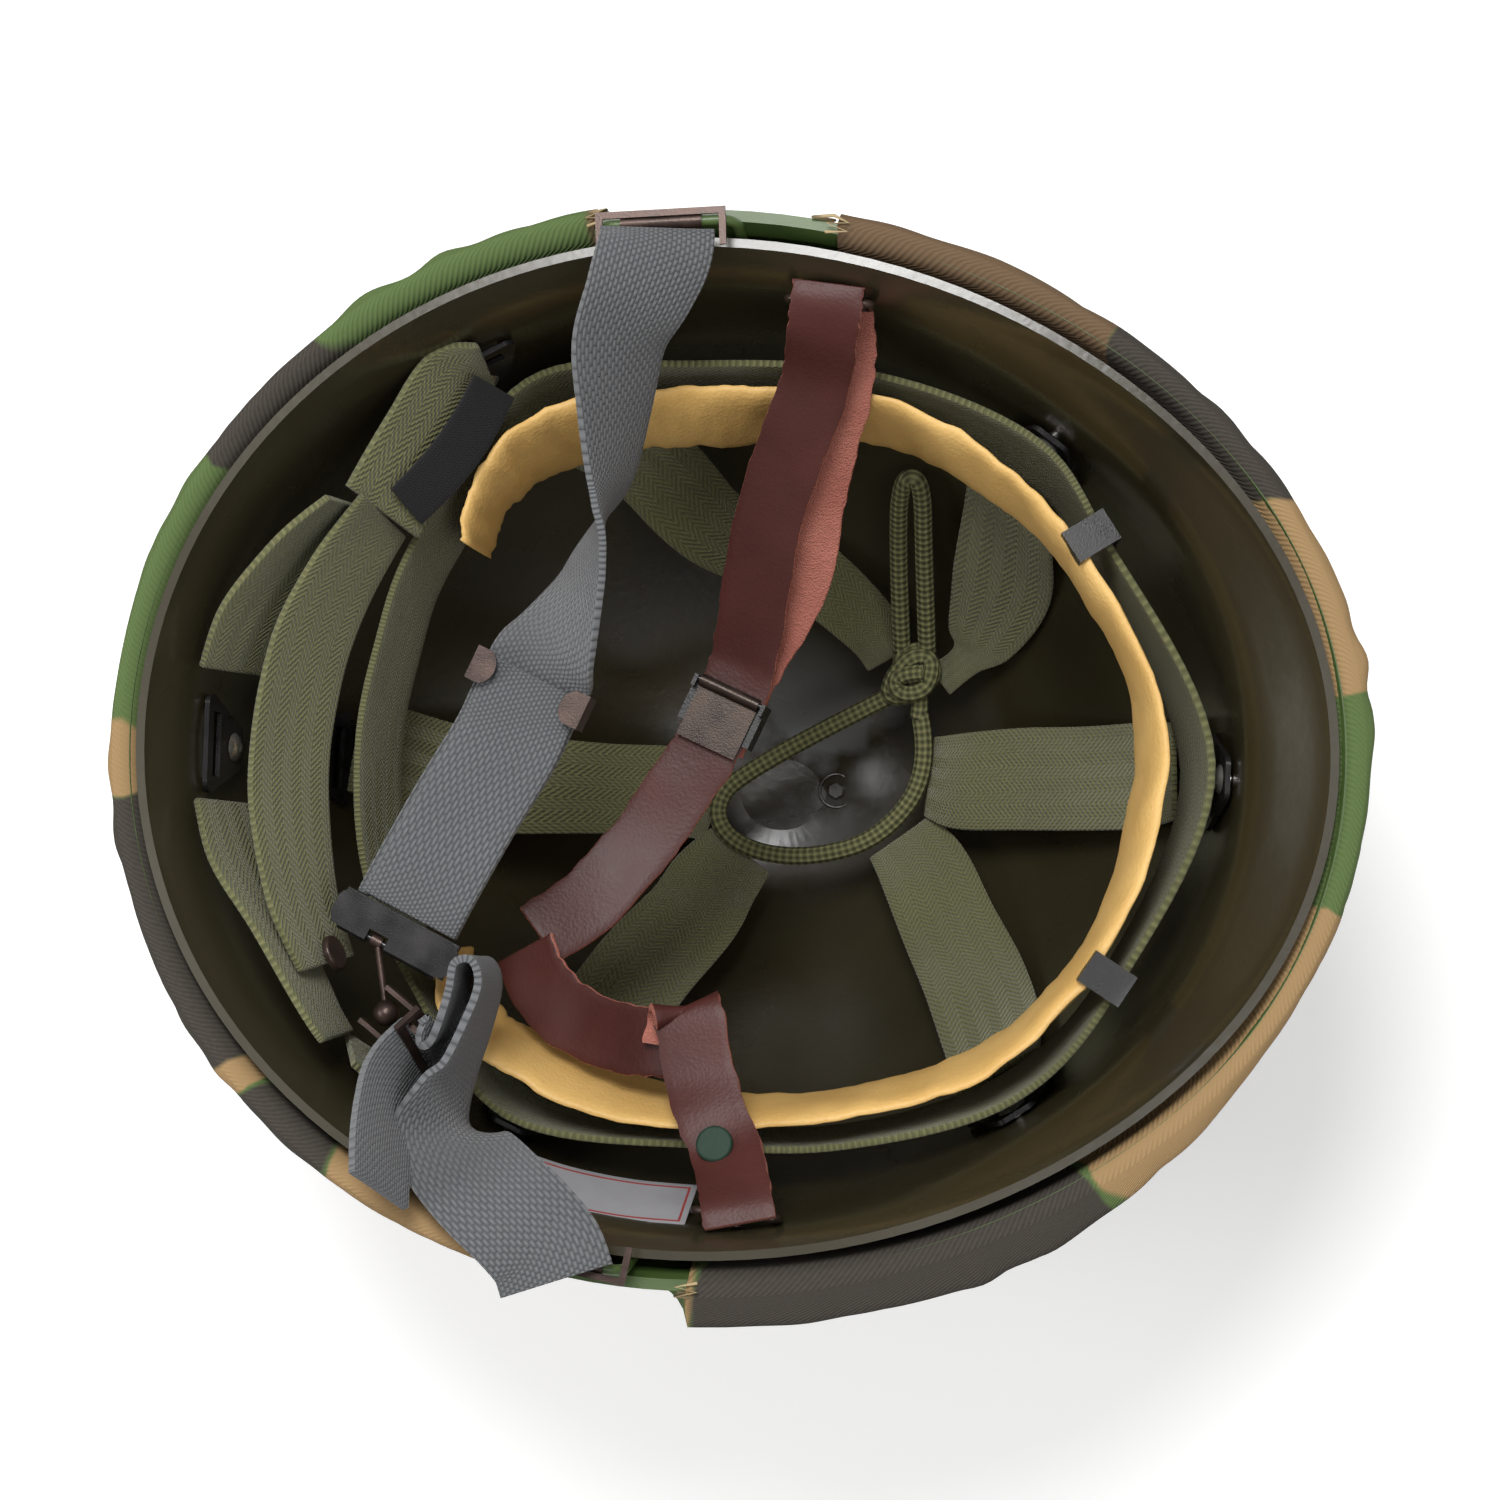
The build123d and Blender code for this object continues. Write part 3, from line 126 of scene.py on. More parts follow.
# Steel shell with its edge bead, strap loops and hinge plates.
# Pressed manganese steel with a spot-welded edge strip, painted olive green all over.
# The paint is even and a little rough.
def mixed(tree, factor, first, second):
    """Colour between two colours or colour sockets."""
    node = tree.nodes.new("ShaderNodeMix")
    node.data_type = "RGBA"
    for socket, value in ((node.inputs[0], factor), (node.inputs[6], first), (node.inputs[7], second)):
        if isinstance(value, bpy.types.NodeSocket):
            tree.links.new(value, socket)
        else:
            socket.default_value = value if isinstance(value, float) else (*value, 1)
    return node.outputs[2]


def new_group(name, numbers, outputs, vector=False):
    """Node group with number inputs, and a vector input where the pattern follows a piece's own map."""
    tree = bpy.data.node_groups.new(name, "ShaderNodeTree")
    if vector:
        tree.interface.new_socket("Vector", in_out="INPUT", socket_type="NodeSocketVector")
    for label, value in numbers.items():
        socket = tree.interface.new_socket(label, in_out="INPUT", socket_type="NodeSocketFloat")
        socket.default_value = value
    for label in outputs:
        tree.interface.new_socket(label, in_out="OUTPUT", socket_type="NodeSocketFloat")
    return tree, tree.nodes.new("NodeGroupInput"), tree.nodes.new("NodeGroupOutput")


def grain(tree, vector, scale, detail):
    """Noise texture's value along a vector."""
    node = tree.nodes.new("ShaderNodeTexNoise")
    node.inputs["Detail"].default_value = detail
    tree.links.new(vector, node.inputs["Vector"])
    if isinstance(scale, bpy.types.NodeSocket):
        tree.links.new(scale, node.inputs["Scale"])
    else:
        node.inputs["Scale"].default_value = scale
    return node.outputs["Fac"]


mottle, mottle_in, mottle_out = new_group("mottle", {"Scale": 40, "Contrast": 2.5}, ["Mask", "Speckle"])
mottle_place = mottle.nodes.new("ShaderNodeTexCoord").outputs["Object"]
mottle_contrast = mottle_in.outputs["Contrast"]
mottle_noise = grain(mottle, mottle_place, mottle_in.outputs["Scale"], 6.0)
mottle_shift = sum_of(mottle, "MULTIPLY_ADD", mottle_contrast, -0.5, 0.5)
mottle_mask = sum_of(mottle, "MULTIPLY_ADD", mottle_noise, mottle_contrast, mottle_shift)
mottle_mask.node.use_clamp = True
mottle.links.new(mottle_mask, mottle_out.inputs["Mask"])
mottle.links.new(grain(mottle, mottle_place, 2600.0, 2.0), mottle_out.inputs["Speckle"])


def placed(tree, group, **values):
    """A group in a material, with its number inputs set."""
    node = tree.nodes.new("ShaderNodeGroup")
    node.node_tree = group
    for label, value in values.items():
        node.inputs[label.capitalize()].default_value = value
    return node


def bumped(tree, height, strength, distance):
    """Bump from a height in shares of a distance in metres."""
    node = tree.nodes.new("ShaderNodeBump")
    node.inputs["Strength"].default_value = strength
    node.inputs["Distance"].default_value = distance
    tree.links.new(height, node.inputs["Height"])
    tree.links.new(node.outputs["Normal"], tree.nodes["Principled BSDF"].inputs["Normal"])


def mottled_finish(name, first, second, scale, roughness, metallic=0.0, coat=0.0, bump=0.3, shine=0.5):
    """Paint, metal or plastic of two close colours with a fine uneven surface."""
    material, tree, shader = new_material(
        name, {"Metallic": metallic, "Coat Weight": coat, "Specular IOR Level": shine})
    spots = placed(tree, mottle, scale=scale, contrast=2.5)
    tree.links.new(mixed(tree, spots.outputs["Mask"], first, second), shader.inputs["Base Color"])
    rough = sum_of(tree, "MULTIPLY_ADD", spots.outputs["Mask"], 0.12, roughness - 0.06)
    tree.links.new(rough, shader.inputs["Roughness"])
    bumped(tree, spots.outputs["Speckle"], bump, 0.00025)
    return material


def dress(material, *names):
    """Gives CAD nodes a material."""
    for name in names:
        nodes[name].data.materials.clear()
        nodes[name].data.materials.append(material)


green_steel = mottled_finish("green_steel", (0.050, 0.088, 0.020), (0.066, 0.110, 0.028), 60, 0.46, coat=0.1)
dress(green_steel, "steel_shell", "rim_bead", "strap_loop_right", "strap_loop_left",
      "loop_hinge_right", "loop_hinge_left")


# Camouflage cover.
# Cotton twill printed in soft clouds of green, tan, brown and near black, pulled over the steel.
# It is folded in over the edge, gathered in small puckers, and slit above each strap loop.
lip_front, lip_rear, lip_side = 141.5, 127.5, 113.0
front_flare, rear_flare, side_flare, flare_height = 16.0, 4.5, 4.5, 22.0
rim_height, crown_height, widest = 176.0, 4.7, -7.0
rim_arc = ((150.5, 162.0), (-28.0, 176.0), (-150.5, 170.0))
cloth_grow = (5.7, 8.1, 4.9)
hem_grow = (1.8, 4.2, 1.0)
fold_rise, hem_depth, slit_depth = -0.9, 12.0, 17.0
base_green = (0.070, 0.120, 0.034)
cloud_colours = {"tan": (0.300, 0.190, 0.085), "brown": (0.120, 0.072, 0.038), "dark": (0.030, 0.026, 0.024)}
rim_clouds = [
    (8, 31, "tan"), (31, 53, "dark"), (53, 80, "brown"), (80, 104, "brown"), (130, 149, "dark"),
    (179, 186, "tan"), (186, 217, "dark"), (217, 222, "tan"), (222, 233, "dark"), (233, 262, "tan"),
    (262, 271, "tan"), (271, 309, "dark"), (309, 345, "tan"),
]


def arc_through(first, middle, last):
    """Centre and radius of the circle through three points."""
    (ax, ay), (bx, by), (cx, cy) = first, middle, last
    d = 2 * (ax * (by - cy) + bx * (cy - ay) + cx * (ay - by))
    a, b, c = ax * ax + ay * ay, bx * bx + by * by, cx * cx + cy * cy
    x = (a * (by - cy) + b * (cy - ay) + c * (ay - by)) / d
    y = (a * (cx - bx) + b * (ax - cx) + c * (bx - ax)) / d
    return x, y, math.hypot(ax - x, ay - y)


arc_x, arc_z, arc_radius = arc_through(*rim_arc)


def rim_at(x):
    """Height of the liner's rim at a place along the helmet."""
    return arc_z + math.sqrt(arc_radius ** 2 - (x - arc_x) ** 2)


def bowl_point(turn, height, end_grow, side_grow, crown_grow):
    """Place on a bowl-shaped surface at a turn from the front and a height."""
    base = crown_height - crown_grow
    share = min(1, max(0, (height - base) / (rim_height - base)))
    bowl_share = math.sqrt(1 - (1 - share) ** 2) * (0.955 + 0.045 * share)

    def flare(drop):
        return min(1, max(0, (height - (rim_height - drop - flare_height)) / flare_height)) ** 2

    front = (lip_front - front_flare + end_grow) * bowl_share + front_flare * flare(14)
    rear = (lip_rear - rear_flare + end_grow) * bowl_share + rear_flare * flare(6)
    side = (lip_side - side_flare + side_grow) * bowl_share + side_flare * flare(0)
    reach = front if math.cos(turn) > 0 else rear
    return Vector((widest + reach * math.cos(turn), side * math.sin(turn), height))


slit_right, slit_left = (-34.0, 19.5), (-40.0, -4.0)


def slit_share(x, y):
    """0 where the cover reaches the rim, up to 1 at the deepest part of a slit."""
    low, high = slit_right if y > 0 else slit_left
    middle, half = (low + high) / 2, (high - low) / 2
    inside = 1 - (abs(x - middle) / half) ** 4
    return max(0.0, inside) ** 0.5


def cloud_fields(turn, below, spot):
    """How far inside a tan, brown and dark cloud a place on the cloth lies."""
    degrees = math.degrees(turn) + 4 * noise.noise(spot * 45) + 0.16 * below * noise.noise(spot * 14)
    degrees = (degrees + 9) % 360 - 9
    rim_share = max(0.0, 1 - below / 34)
    fields = {"tan": -1.0, "brown": -1.0, "dark": -1.0}
    for start, end, colour in rim_clouds:
        inside = min(degrees - start, end - degrees) / 8
        fields[colour] = max(fields[colour], min(1, inside))
    free = {
        "tan": 2.6 * noise.noise(spot * 17 + Vector((3.1, 0.4, 7.7))) - 0.25,
        "brown": 2.6 * noise.noise(spot * 15 + Vector((9.6, 5.2, 1.3))) - 0.35,
        "dark": 2.6 * noise.noise(spot * 19 + Vector((0.7, 8.8, 4.9))) - 0.45,
    }
    ragged = 0.16 * noise.noise(spot * 130)
    return [fields[c] * rim_share + free[c] * (1 - rim_share) + ragged for c in cloud_colours]


def spread_map(shape, flat):
    """Gives a shape its own map, from each point's place along and across it in millimetres."""
    own_map = shape.loops.layers.uv.new("UVMap")
    for face in shape.faces:
        for loop in face.loops:
            loop[own_map].uv = flat[loop.vert.index]


cover_columns, hem_rows, wall_rows = 480, 5, 76
pucker_reach, swell_reach, drape_reach, loose_reach = 3.2, 2.6, 1.2, 6.5
column_radius, row_length = 124, 3.2
cover_shape = bmesh.new()
bmesh.ops.create_grid(cover_shape, x_segments=cover_columns, y_segments=hem_rows + wall_rows, size=0.5)
cover_clouds = cover_shape.verts.layers.float_color.new("clouds")
cover_flat = {}
cover_open = set()
slit_edges = {"right": [], "left": []}
for vert in cover_shape.verts:
    turn = (vert.co.x + 0.5) * 2 * math.pi
    row = round((vert.co.y + 0.5) * (hem_rows + wall_rows))
    edge = bowl_point(turn, rim_height - 6, *cloth_grow)
    top = rim_at(edge.x) + fold_rise
    open_share = slit_share(edge.x, edge.y)
    round_turn = Vector((math.cos(turn), math.sin(turn), 0))
    pucker = 0.5 + 0.5 * math.sin(turn * 31 + 9 * noise.noise(round_turn * 2.7))
    gather = max(0.0, noise.noise(round_turn * 2.9 + Vector((4.0, 0, 5.0))) + 0.12)
    if row < hem_rows:
        height = top - 1.2 - hem_depth * (1 - row / hem_rows)
        spot = bowl_point(turn, height, *hem_grow)
        below = 0.0
        if open_share > 0.02:
            cover_open.add(vert.index)
    else:
        share = (row - hem_rows) / wall_rows
        start = slit_depth * open_share
        below = start + (top - crown_height - start) * (1 - math.cos(share * math.pi / 2)) ** 1.1
        height = max(top - below, 0.0)
        spot = bowl_point(turn, max(height, 0.7), *cloth_grow)
        if share > 0.999:
            spot = Vector((0, 0, 0.6))
        if row == hem_rows and open_share <= 0.02:
            spot = spot.lerp(bowl_point(turn, height, *hem_grow), 0.5)
            spot.z += 0.7
        outward = Vector((spot.x - widest, spot.y, 0)).normalized()
        fade = max(0.0, 1 - below / 30) * min(1.0, share * 18)
        sag = min(1.0, share * 9) * max(0.0, 1 - below / 95)
        swell = 0.5 + 0.5 * noise.noise(Vector((math.cos(turn) * 1.7, math.sin(turn) * 1.7, height * 0.02)))
        fold_run = below * 0.05 + 7 * turn
        drape = abs(noise.noise(Vector((math.cos(fold_run) * 1.3, math.sin(fold_run) * 1.3, below * 0.03))))
        degrees = math.degrees(turn)
        slack = min(1.0, max(0.0, (degrees - 266) / 5)) * min(1.0, max(0.0, (332 - degrees) / 36))
        spot += outward * (pucker_reach * pucker * gather * fade + swell_reach * swell * sag
                           + drape_reach * drape * sag + loose_reach * slack * sag ** 1.5)
    if row == hem_rows and open_share > 0.02:
        slit_edges["right" if spot.y > 0 else "left"].append((turn, spot.copy(), outward))
    cover_flat[vert.index] = (turn * column_radius, row * row_length)
    vert.co = spot * MM
    vert[cover_clouds] = (*cloud_fields(turn, below, vert.co), 1.0)
spread_map(cover_shape, cover_flat)
open_faces = [f for f in cover_shape.faces if any(v.index in cover_open for v in f.verts)]
bmesh.ops.delete(cover_shape, geom=open_faces, context="FACES")
bmesh.ops.remove_doubles(cover_shape, verts=cover_shape.verts, dist=0.00002)
bmesh.ops.dissolve_degenerate(cover_shape, dist=0.00001, edges=cover_shape.edges)
bmesh.ops.recalc_face_normals(cover_shape, faces=cover_shape.faces)
cover_side = math.sqrt(sum(face.calc_area() for face in cover_shape.faces))


def parts_of(tree, vector):
    """X, Y and Z of a vector."""
    node = tree.nodes.new("ShaderNodeSeparateXYZ")
    tree.links.new(vector, node.inputs[0])
    return node.outputs


def sine_along(tree, run, pitch):
    """Sine from -1 to 1 that repeats at every pitch of a run."""
    return sum_of(tree, "SINE", sum_of(tree, "DIVIDE", sum_of(tree, "MULTIPLY", run, math.tau), pitch))


def weighed(tree, first, first_share, second, second_share):
    """Sum of two values, each times its share."""
    return sum_of(tree, "MULTIPLY_ADD", second, second_share, sum_of(tree, "MULTIPLY", first, first_share))


def woven(tree, group, **values):
    """A weave in a material, led along and across the piece by its own map in millimetres."""
    node = placed(tree, group, **values)
    own_map = tree.nodes.new("ShaderNodeUVMap")
    own_map.uv_map = "UVMap"
    tree.links.new(own_map.outputs[0], node.inputs["Vector"])
    return node


twill, twill_in, twill_out = new_group("twill", {"Pitch": 1.0}, ["Height", "Shade"], vector=True)
twill_place = twill_in.outputs["Vector"]
twill_parts = parts_of(twill, twill_place)
twill_run = sum_of(twill, "MULTIPLY_ADD", twill_parts["Y"], 0.8, twill_parts["X"])
twill_rib = sum_of(twill, "MULTIPLY_ADD", sine_along(twill, twill_run, twill_in.outputs["Pitch"]), 0.5, 0.5)
twill.links.new(twill_rib, twill_out.inputs["Height"])
twill_shade = weighed(twill, twill_rib, 0.45, grain(twill, twill_place, 0.9, 5.0), 0.7)
twill.links.new(twill_shade, twill_out.inputs["Shade"])

printed_twill, tree, shader = new_material("printed_twill", {"Roughness": 0.88, "Specular IOR Level": 0.2})
clouds = tree.nodes.new("ShaderNodeAttribute")
clouds.attribute_name = "clouds"
cloud_parts = tree.nodes.new("ShaderNodeSeparateColor")
tree.links.new(clouds.outputs["Color"], cloud_parts.inputs[0])
print_colour = base_green
for cloud, colour in zip(cloud_parts.outputs, cloud_colours.values()):
    cloud_edge = sum_of(tree, "MULTIPLY", cloud, 14.0)
    cloud_edge.node.use_clamp = True
    print_colour = mixed(tree, cloud_edge, print_colour, colour)
ribs = woven(tree, twill, pitch=1.35)
rib_share = sum_of(tree, "MULTIPLY", ribs.outputs["Shade"], 0.09)
tree.links.new(mixed(tree, rib_share, print_colour, (0.42, 0.36, 0.25)), shader.inputs["Base Color"])
bumped(tree, ribs.outputs["Height"], 0.45, 0.0004)
camouflage_cloth = new_piece("camouflage_cloth", cover_shape, printed_twill)
cloth_wall = camouflage_cloth.modifiers.new("cloth_wall", "SOLIDIFY")
cloth_wall.thickness = 0.7 * MM
cloth_wall.offset = 0
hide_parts("camouflage_cover")
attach(camouflage_cloth, "helmet")


# Overlock stitching of the slits.
# The raw edge of each slit is bound with tan thread in a close zigzag.
# The binding turns over the fold at each end of the slit.
tan_thread, tree, shader = new_material("tan_thread", {"Roughness": 0.85})
thread_tone = placed(tree, mottle, scale=300.0, contrast=1.5)
tree.links.new(mixed(tree, thread_tone.outputs["Mask"], (0.30, 0.22, 0.11), (0.46, 0.36, 0.20)),
               shader.inputs["Base Color"])
bumped(tree, thread_tone.outputs["Speckle"], 0.3, 0.0002)
thread_radius, stitch_step, stitch_rise, stitch_in, stitch_out = 0.42, 1.1, 0.7, 4.2, -0.6
upward = Vector((0, 0, 1))
for side_name, places in slit_edges.items():
    places.sort(key=lambda place: place[0])
    edge = [(spot, out) for _, spot, out in places]
    for end in (0, -1):
        turn, spot, _ = places[end]
        fold = rim_at(spot.x) + fold_rise
        over = bowl_point(turn, fold, *cloth_grow) + upward * 0.8
        under = bowl_point(turn, fold, *hem_grow) + upward * 0.8
        across = [(under, upward), (over, upward)]
        edge = across + edge if end == 0 else edge + across[::-1]
    corners = []
    for (start, out), (end, _) in zip(edge, edge[1:]):
        away = (end - start).cross(out).normalized()
        stitches = max(1, round((end - start).length / stitch_step))
        for stitch in range(stitches):
            inset = stitch_in if len(corners) % 2 else stitch_out
            corners.append((start.lerp(end, stitch / stitches) + out * stitch_rise + away * inset) * MM)
    thread = bpy.data.curves.new("overlock_" + side_name, "CURVE")
    thread.dimensions = "3D"
    thread.bevel_depth = thread_radius * MM
    thread.bevel_resolution = 1
    line = thread.splines.new("POLY")
    line.points.add(len(corners) - 1)
    for point, corner in zip(line.points, corners):
        point.co = (*corner, 1)
    guide = bpy.data.objects.new("overlock_guide", thread)
    mesh = bpy.data.meshes.new_from_object(guide)
    bpy.data.objects.remove(guide)
    mesh.name = "overlock_" + side_name
    mesh.materials.clear()
    mesh.materials.append(tan_thread)
    overlock = bpy.data.objects.new("overlock_" + side_name, mesh)
    bpy.context.collection.objects.link(overlock)
    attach(overlock, "helmet")


# Liner shell.
# Resin and cloth pressed into a shell, lacquered a glossy olive brown.
# Its colour is painted lighter towards the lip, where light falls, and carries a painted grey reflection
# round the crown at the bottom.
liner_gloss, tree, shader = new_material("liner_gloss", {"Coat Weight": 0.4, "Coat Roughness": 0.18})
spots = placed(tree, mottle, scale=16.0, contrast=2.0)
base = mixed(tree, spots.outputs["Mask"], (0.017, 0.013, 0.006), (0.033, 0.027, 0.013))
liner_place = tree.nodes.new("ShaderNodeTexCoord").outputs["Object"]
# Painted light: the colour turns lighter towards the lip, where more light falls than down in the bowl.
lip_painted_light = tree.nodes.new("ShaderNodeMapRange")
lip_painted_light.inputs["From Min"].default_value = 0.145
lip_painted_light.inputs["From Max"].default_value = 0.172
tree.links.new(parts_of(tree, liner_place)["Z"], lip_painted_light.inputs["Value"])
base = mixed(tree, sum_of(tree, "MULTIPLY", lip_painted_light.outputs[0], 0.4), base, (0.060, 0.051, 0.030))
# Painted reflection: a ragged blue-grey patch round the crown stands in for the lamp's reflection in the
# lacquer.
crown_gap = tree.nodes.new("ShaderNodeVectorMath")
crown_gap.operation = "DISTANCE"
crown_gap.inputs[1].default_value = (-0.004, 0.010, 0.006)
tree.links.new(liner_place, crown_gap.inputs[0])
painted_sheen_radius = 0.040
painted_sheen = sum_of(tree, "SUBTRACT", 1.0, sum_of(tree, "DIVIDE", crown_gap.outputs["Value"], painted_sheen_radius))
painted_sheen.node.use_clamp = True
painted_sheen_edge = sum_of(tree, "MULTIPLY_ADD", grain(tree, liner_place, 42.0, 5.0), 9.0, -4.1)
painted_sheen_edge.node.use_clamp = True
painted_sheen = sum_of(tree, "MULTIPLY", sum_of(tree, "MULTIPLY", painted_sheen, painted_sheen_edge), 0.85)
tree.links.new(mixed(tree, painted_sheen, base, (0.150, 0.155, 0.160)), shader.inputs["Base Color"])
tree.links.new(sum_of(tree, "MULTIPLY_ADD", spots.outputs["Mask"], 0.16, 0.20), shader.inputs["Roughness"])
bumped(tree, grain(tree, liner_place, 420.0, 3.0), 0.12, 0.0006)
dress(liner_gloss, "liner_shell")


# Boss at the liner's crown.
# A small six-sided button with a ring about it, moulded with the shell where the mould closed.
# It is bare, and of the shell's own lacquered resin.
boss_middle = Vector((0.0073, 0.0015, 0.1))
boss_hit = nodes["liner_shell"].ray_cast(boss_middle, Vector((0, 0, -1)))
boss_foot = Vector((boss_middle.x, boss_middle.y, boss_hit[1].z if boss_hit[0] else 0.0068))
boss_shape = bmesh.new()
bmesh.ops.create_cone(
    boss_shape, cap_ends=True, segments=6, radius1=2.5 * MM, radius2=2.1 * MM, depth=1.6 * MM,
    matrix=Matrix.Translation(boss_foot + Vector((0, 0, 0.7 * MM))))
boss_reach, boss_lift, boss_round = 4.3, 0.2, 0.45
for vert in bmesh.ops.create_grid(boss_shape, x_segments=40, y_segments=10, size=0.5)["verts"]:
    turn, angle = (vert.co.x + 0.5) * 2 * math.pi, (vert.co.y + 0.5) * 2 * math.pi
    reach = boss_reach + boss_round * math.sin(angle)
    lift = boss_lift + boss_round * math.cos(angle)
    vert.co = boss_foot + Vector((reach * math.cos(turn), reach * math.sin(turn), lift)) * MM
bmesh.ops.remove_doubles(boss_shape, verts=boss_shape.verts, dist=0.00001)
bmesh.ops.recalc_face_normals(boss_shape, faces=boss_shape.faces)
crown_boss = new_piece("crown_boss", boss_shape, liner_gloss, smooth=False)
boss_edge = crown_boss.modifiers.new("boss_edge", "BEVEL")
boss_edge.width = 0.3 * MM
boss_edge.segments = 2
boss_edge.limit_method = "ANGLE"
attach(crown_boss, "helmet")


# Clips, keeper, buckle and quick release of the web chin strap.
# Stamped steel, chemically browned on the clips, keeper and release, and blackened on the buckle.
# The brown is worn to a pinkish bronze where it is handled.
browned_metal = mottled_finish(
    "browned_metal", (0.030, 0.019, 0.016), (0.076, 0.048, 0.039), 180, 0.36, metallic=0.6, bump=0.2)
black_metal = mottled_finish(
    "black_metal", (0.006, 0.006, 0.006), (0.018, 0.016, 0.016), 150, 0.3, coat=0.15, bump=0.15, shine=0.35)
dress(browned_metal, "strap_clip_right", "strap_clip_left", "strap_keeper", "release_ball", "release_fork",
      "strap_end_plate", "leather_loop_right", "leather_loop_left", "liner_studs", "nape_snap")
dress(black_metal, "buckle_frame", "buckle_lever")


# Web chin strap, in four lengths.
# Blue-grey cotton web one inch wide, in a close basket weave, folded back through its fittings.
# Each length is laid through the same places as its solid and keeps the web's real thickness.
def smooth_rows(stations, steps, closed=False):
    """Rows of numbers along a smooth line through the stations."""
    count = len(stations)
    spans = count if closed else count - 1
    rows = []
    for index in range(spans):
        picks = [index - 1, index, index + 1, index + 2]
        picks = [p % count if closed else min(max(p, 0), count - 1) for p in picks]
        group = list(zip(*[stations[p] for p in picks]))
        for step in range(steps):
            t = step / steps
            rows.append([0.5 * (2 * b + (c - a) * t + (2 * a - 5 * b + 4 * c - d) * t * t
                                + (3 * b - a - 3 * c + d) * t ** 3) for a, b, c, d in group])
    rows.append(list(stations[0] if closed else stations[-1]))
    return rows


def row_at(rows, share):
    """Numbers at a share of the way along the rows."""
    place = share * (len(rows) - 1)
    low = min(int(place), len(rows) - 2)
    return [a + (b - a) * (place - low) for a, b in zip(rows[low], rows[low + 1])]


def finish_strap(name, shape, thickness, body, materials, replaced):
    """Object of a flat strap's mesh, with its thickness and softened edges; it hides the part it replaces and
    attaches the piece to its body.
    """
    piece = new_piece(name, shape, *materials)
    wall = piece.modifiers.new("wall", "SOLIDIFY")
    wall.thickness = thickness * MM
    wall.offset = 0
    if len(materials) > 1:
        wall.material_offset = 1
        wall.material_offset_rim = 1
    edge = piece.modifiers.new("edge", "BEVEL")
    edge.width = thickness / 4 * MM
    edge.segments = 2
    edge.limit_method = "ANGLE"
    edge.angle_limit = math.radians(50)
    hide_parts(replaced)
    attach(piece, body)


def lay_strap(name, stations, width, thickness, body, materials, replaced, ripple=0.25, ragged=0.0):
    """Strap through stations of place, way across and share of its width, in millimetres."""
    rows = smooth_rows(stations, 9)
    length = sum(math.dist(before[:3], after[:3]) for before, after in zip(rows, rows[1:]))
    shape = bmesh.new()
    bmesh.ops.create_grid(shape, x_segments=len(rows) - 1, y_segments=8, size=0.5)
    flat = {}
    for vert in shape.verts:
        share, across = vert.co.x + 0.5, vert.co.y
        x, y, z, ax, ay, az, width_share = row_at(rows, share)
        past, coming = row_at(rows, max(0, share - 0.02)), row_at(rows, min(1, share + 0.02))
        ahead = (Vector(coming[:3]) - Vector(past[:3])).normalized()
        side = Vector((ax, ay, az))
        side = (side - ahead * side.dot(ahead)).normalized()
        run = share * length
        rag = ragged * noise.noise(Vector((run * 0.35, across * 3, 9.0))) * abs(across) * 2
        bend = ripple * noise.noise(Vector((run * 0.07, across * 1.5, sum(map(ord, name)) * 0.37)))
        reach = width * width_share * across + rag
        vert.co = (Vector((x, y, z)) + side * reach + ahead.cross(side) * bend) * MM
        flat[vert.index] = (run, width * across)
    spread_map(shape, flat)
    shape.normal_update()
    if sum(face.normal.z for face in shape.faces) < 0:
        bmesh.ops.reverse_faces(shape, faces=shape.faces)
    finish_strap(name, shape, thickness, body, materials, replaced)


hopsack, hopsack_in, hopsack_out = new_group(
    "hopsack", {"Pitch": 1.9, "Row": 1.05}, ["Height", "Shade"], vector=True)
hopsack_place = hopsack_in.outputs["Vector"]
hopsack_parts = parts_of(hopsack, hopsack_place)
hopsack_side = sum_of(hopsack, "ADD", hopsack_parts["Y"], 50.0)
hopsack_row = sum_of(hopsack, "DIVIDE", hopsack_side, hopsack_in.outputs["Row"])
hopsack_shift = sum_of(hopsack, "MULTIPLY", sum_of(hopsack, "FLOOR", hopsack_row), 0.5)
hopsack_run = sum_of(hopsack, "DIVIDE", hopsack_parts["X"], hopsack_in.outputs["Pitch"])
hopsack_along = sum_of(hopsack, "FRACT", sum_of(hopsack, "ADD", hopsack_run, hopsack_shift))
hopsack_across = sum_of(hopsack, "FRACT", hopsack_row)
hopsack_swell = sum_of(hopsack, "SINE", sum_of(hopsack, "MULTIPLY", hopsack_along, math.pi))
hopsack_round = sum_of(hopsack, "SINE", sum_of(hopsack, "MULTIPLY", hopsack_across, math.pi))
hopsack_height = sum_of(hopsack, "POWER", sum_of(hopsack, "MULTIPLY", hopsack_swell, hopsack_round), 0.6)
hopsack_shade = weighed(hopsack, hopsack_height, 0.6, grain(hopsack, hopsack_place, 1.1, 4.0), 0.5)
hopsack.links.new(hopsack_height, hopsack_out.inputs["Height"])
hopsack.links.new(hopsack_shade, hopsack_out.inputs["Shade"])


def web_finish(name, dark, pale, group, bump, **sizes):
    """Cotton web with a weave that follows the strap."""
    material, tree, shader = new_material(name, {"Roughness": 0.9, "Sheen Weight": 0.2})
    weave = woven(tree, group, **sizes)
    soil = placed(tree, mottle, scale=45.0, contrast=1.6)
    colour = mixed(tree, weave.outputs["Shade"], dark, pale)
    colour = mixed(tree, sum_of(tree, "MULTIPLY", soil.outputs["Mask"], 0.25), colour, dark)
    tree.links.new(colour, shader.inputs["Base Color"])
    bumped(tree, weave.outputs["Height"], bump, 0.0006)
    return material


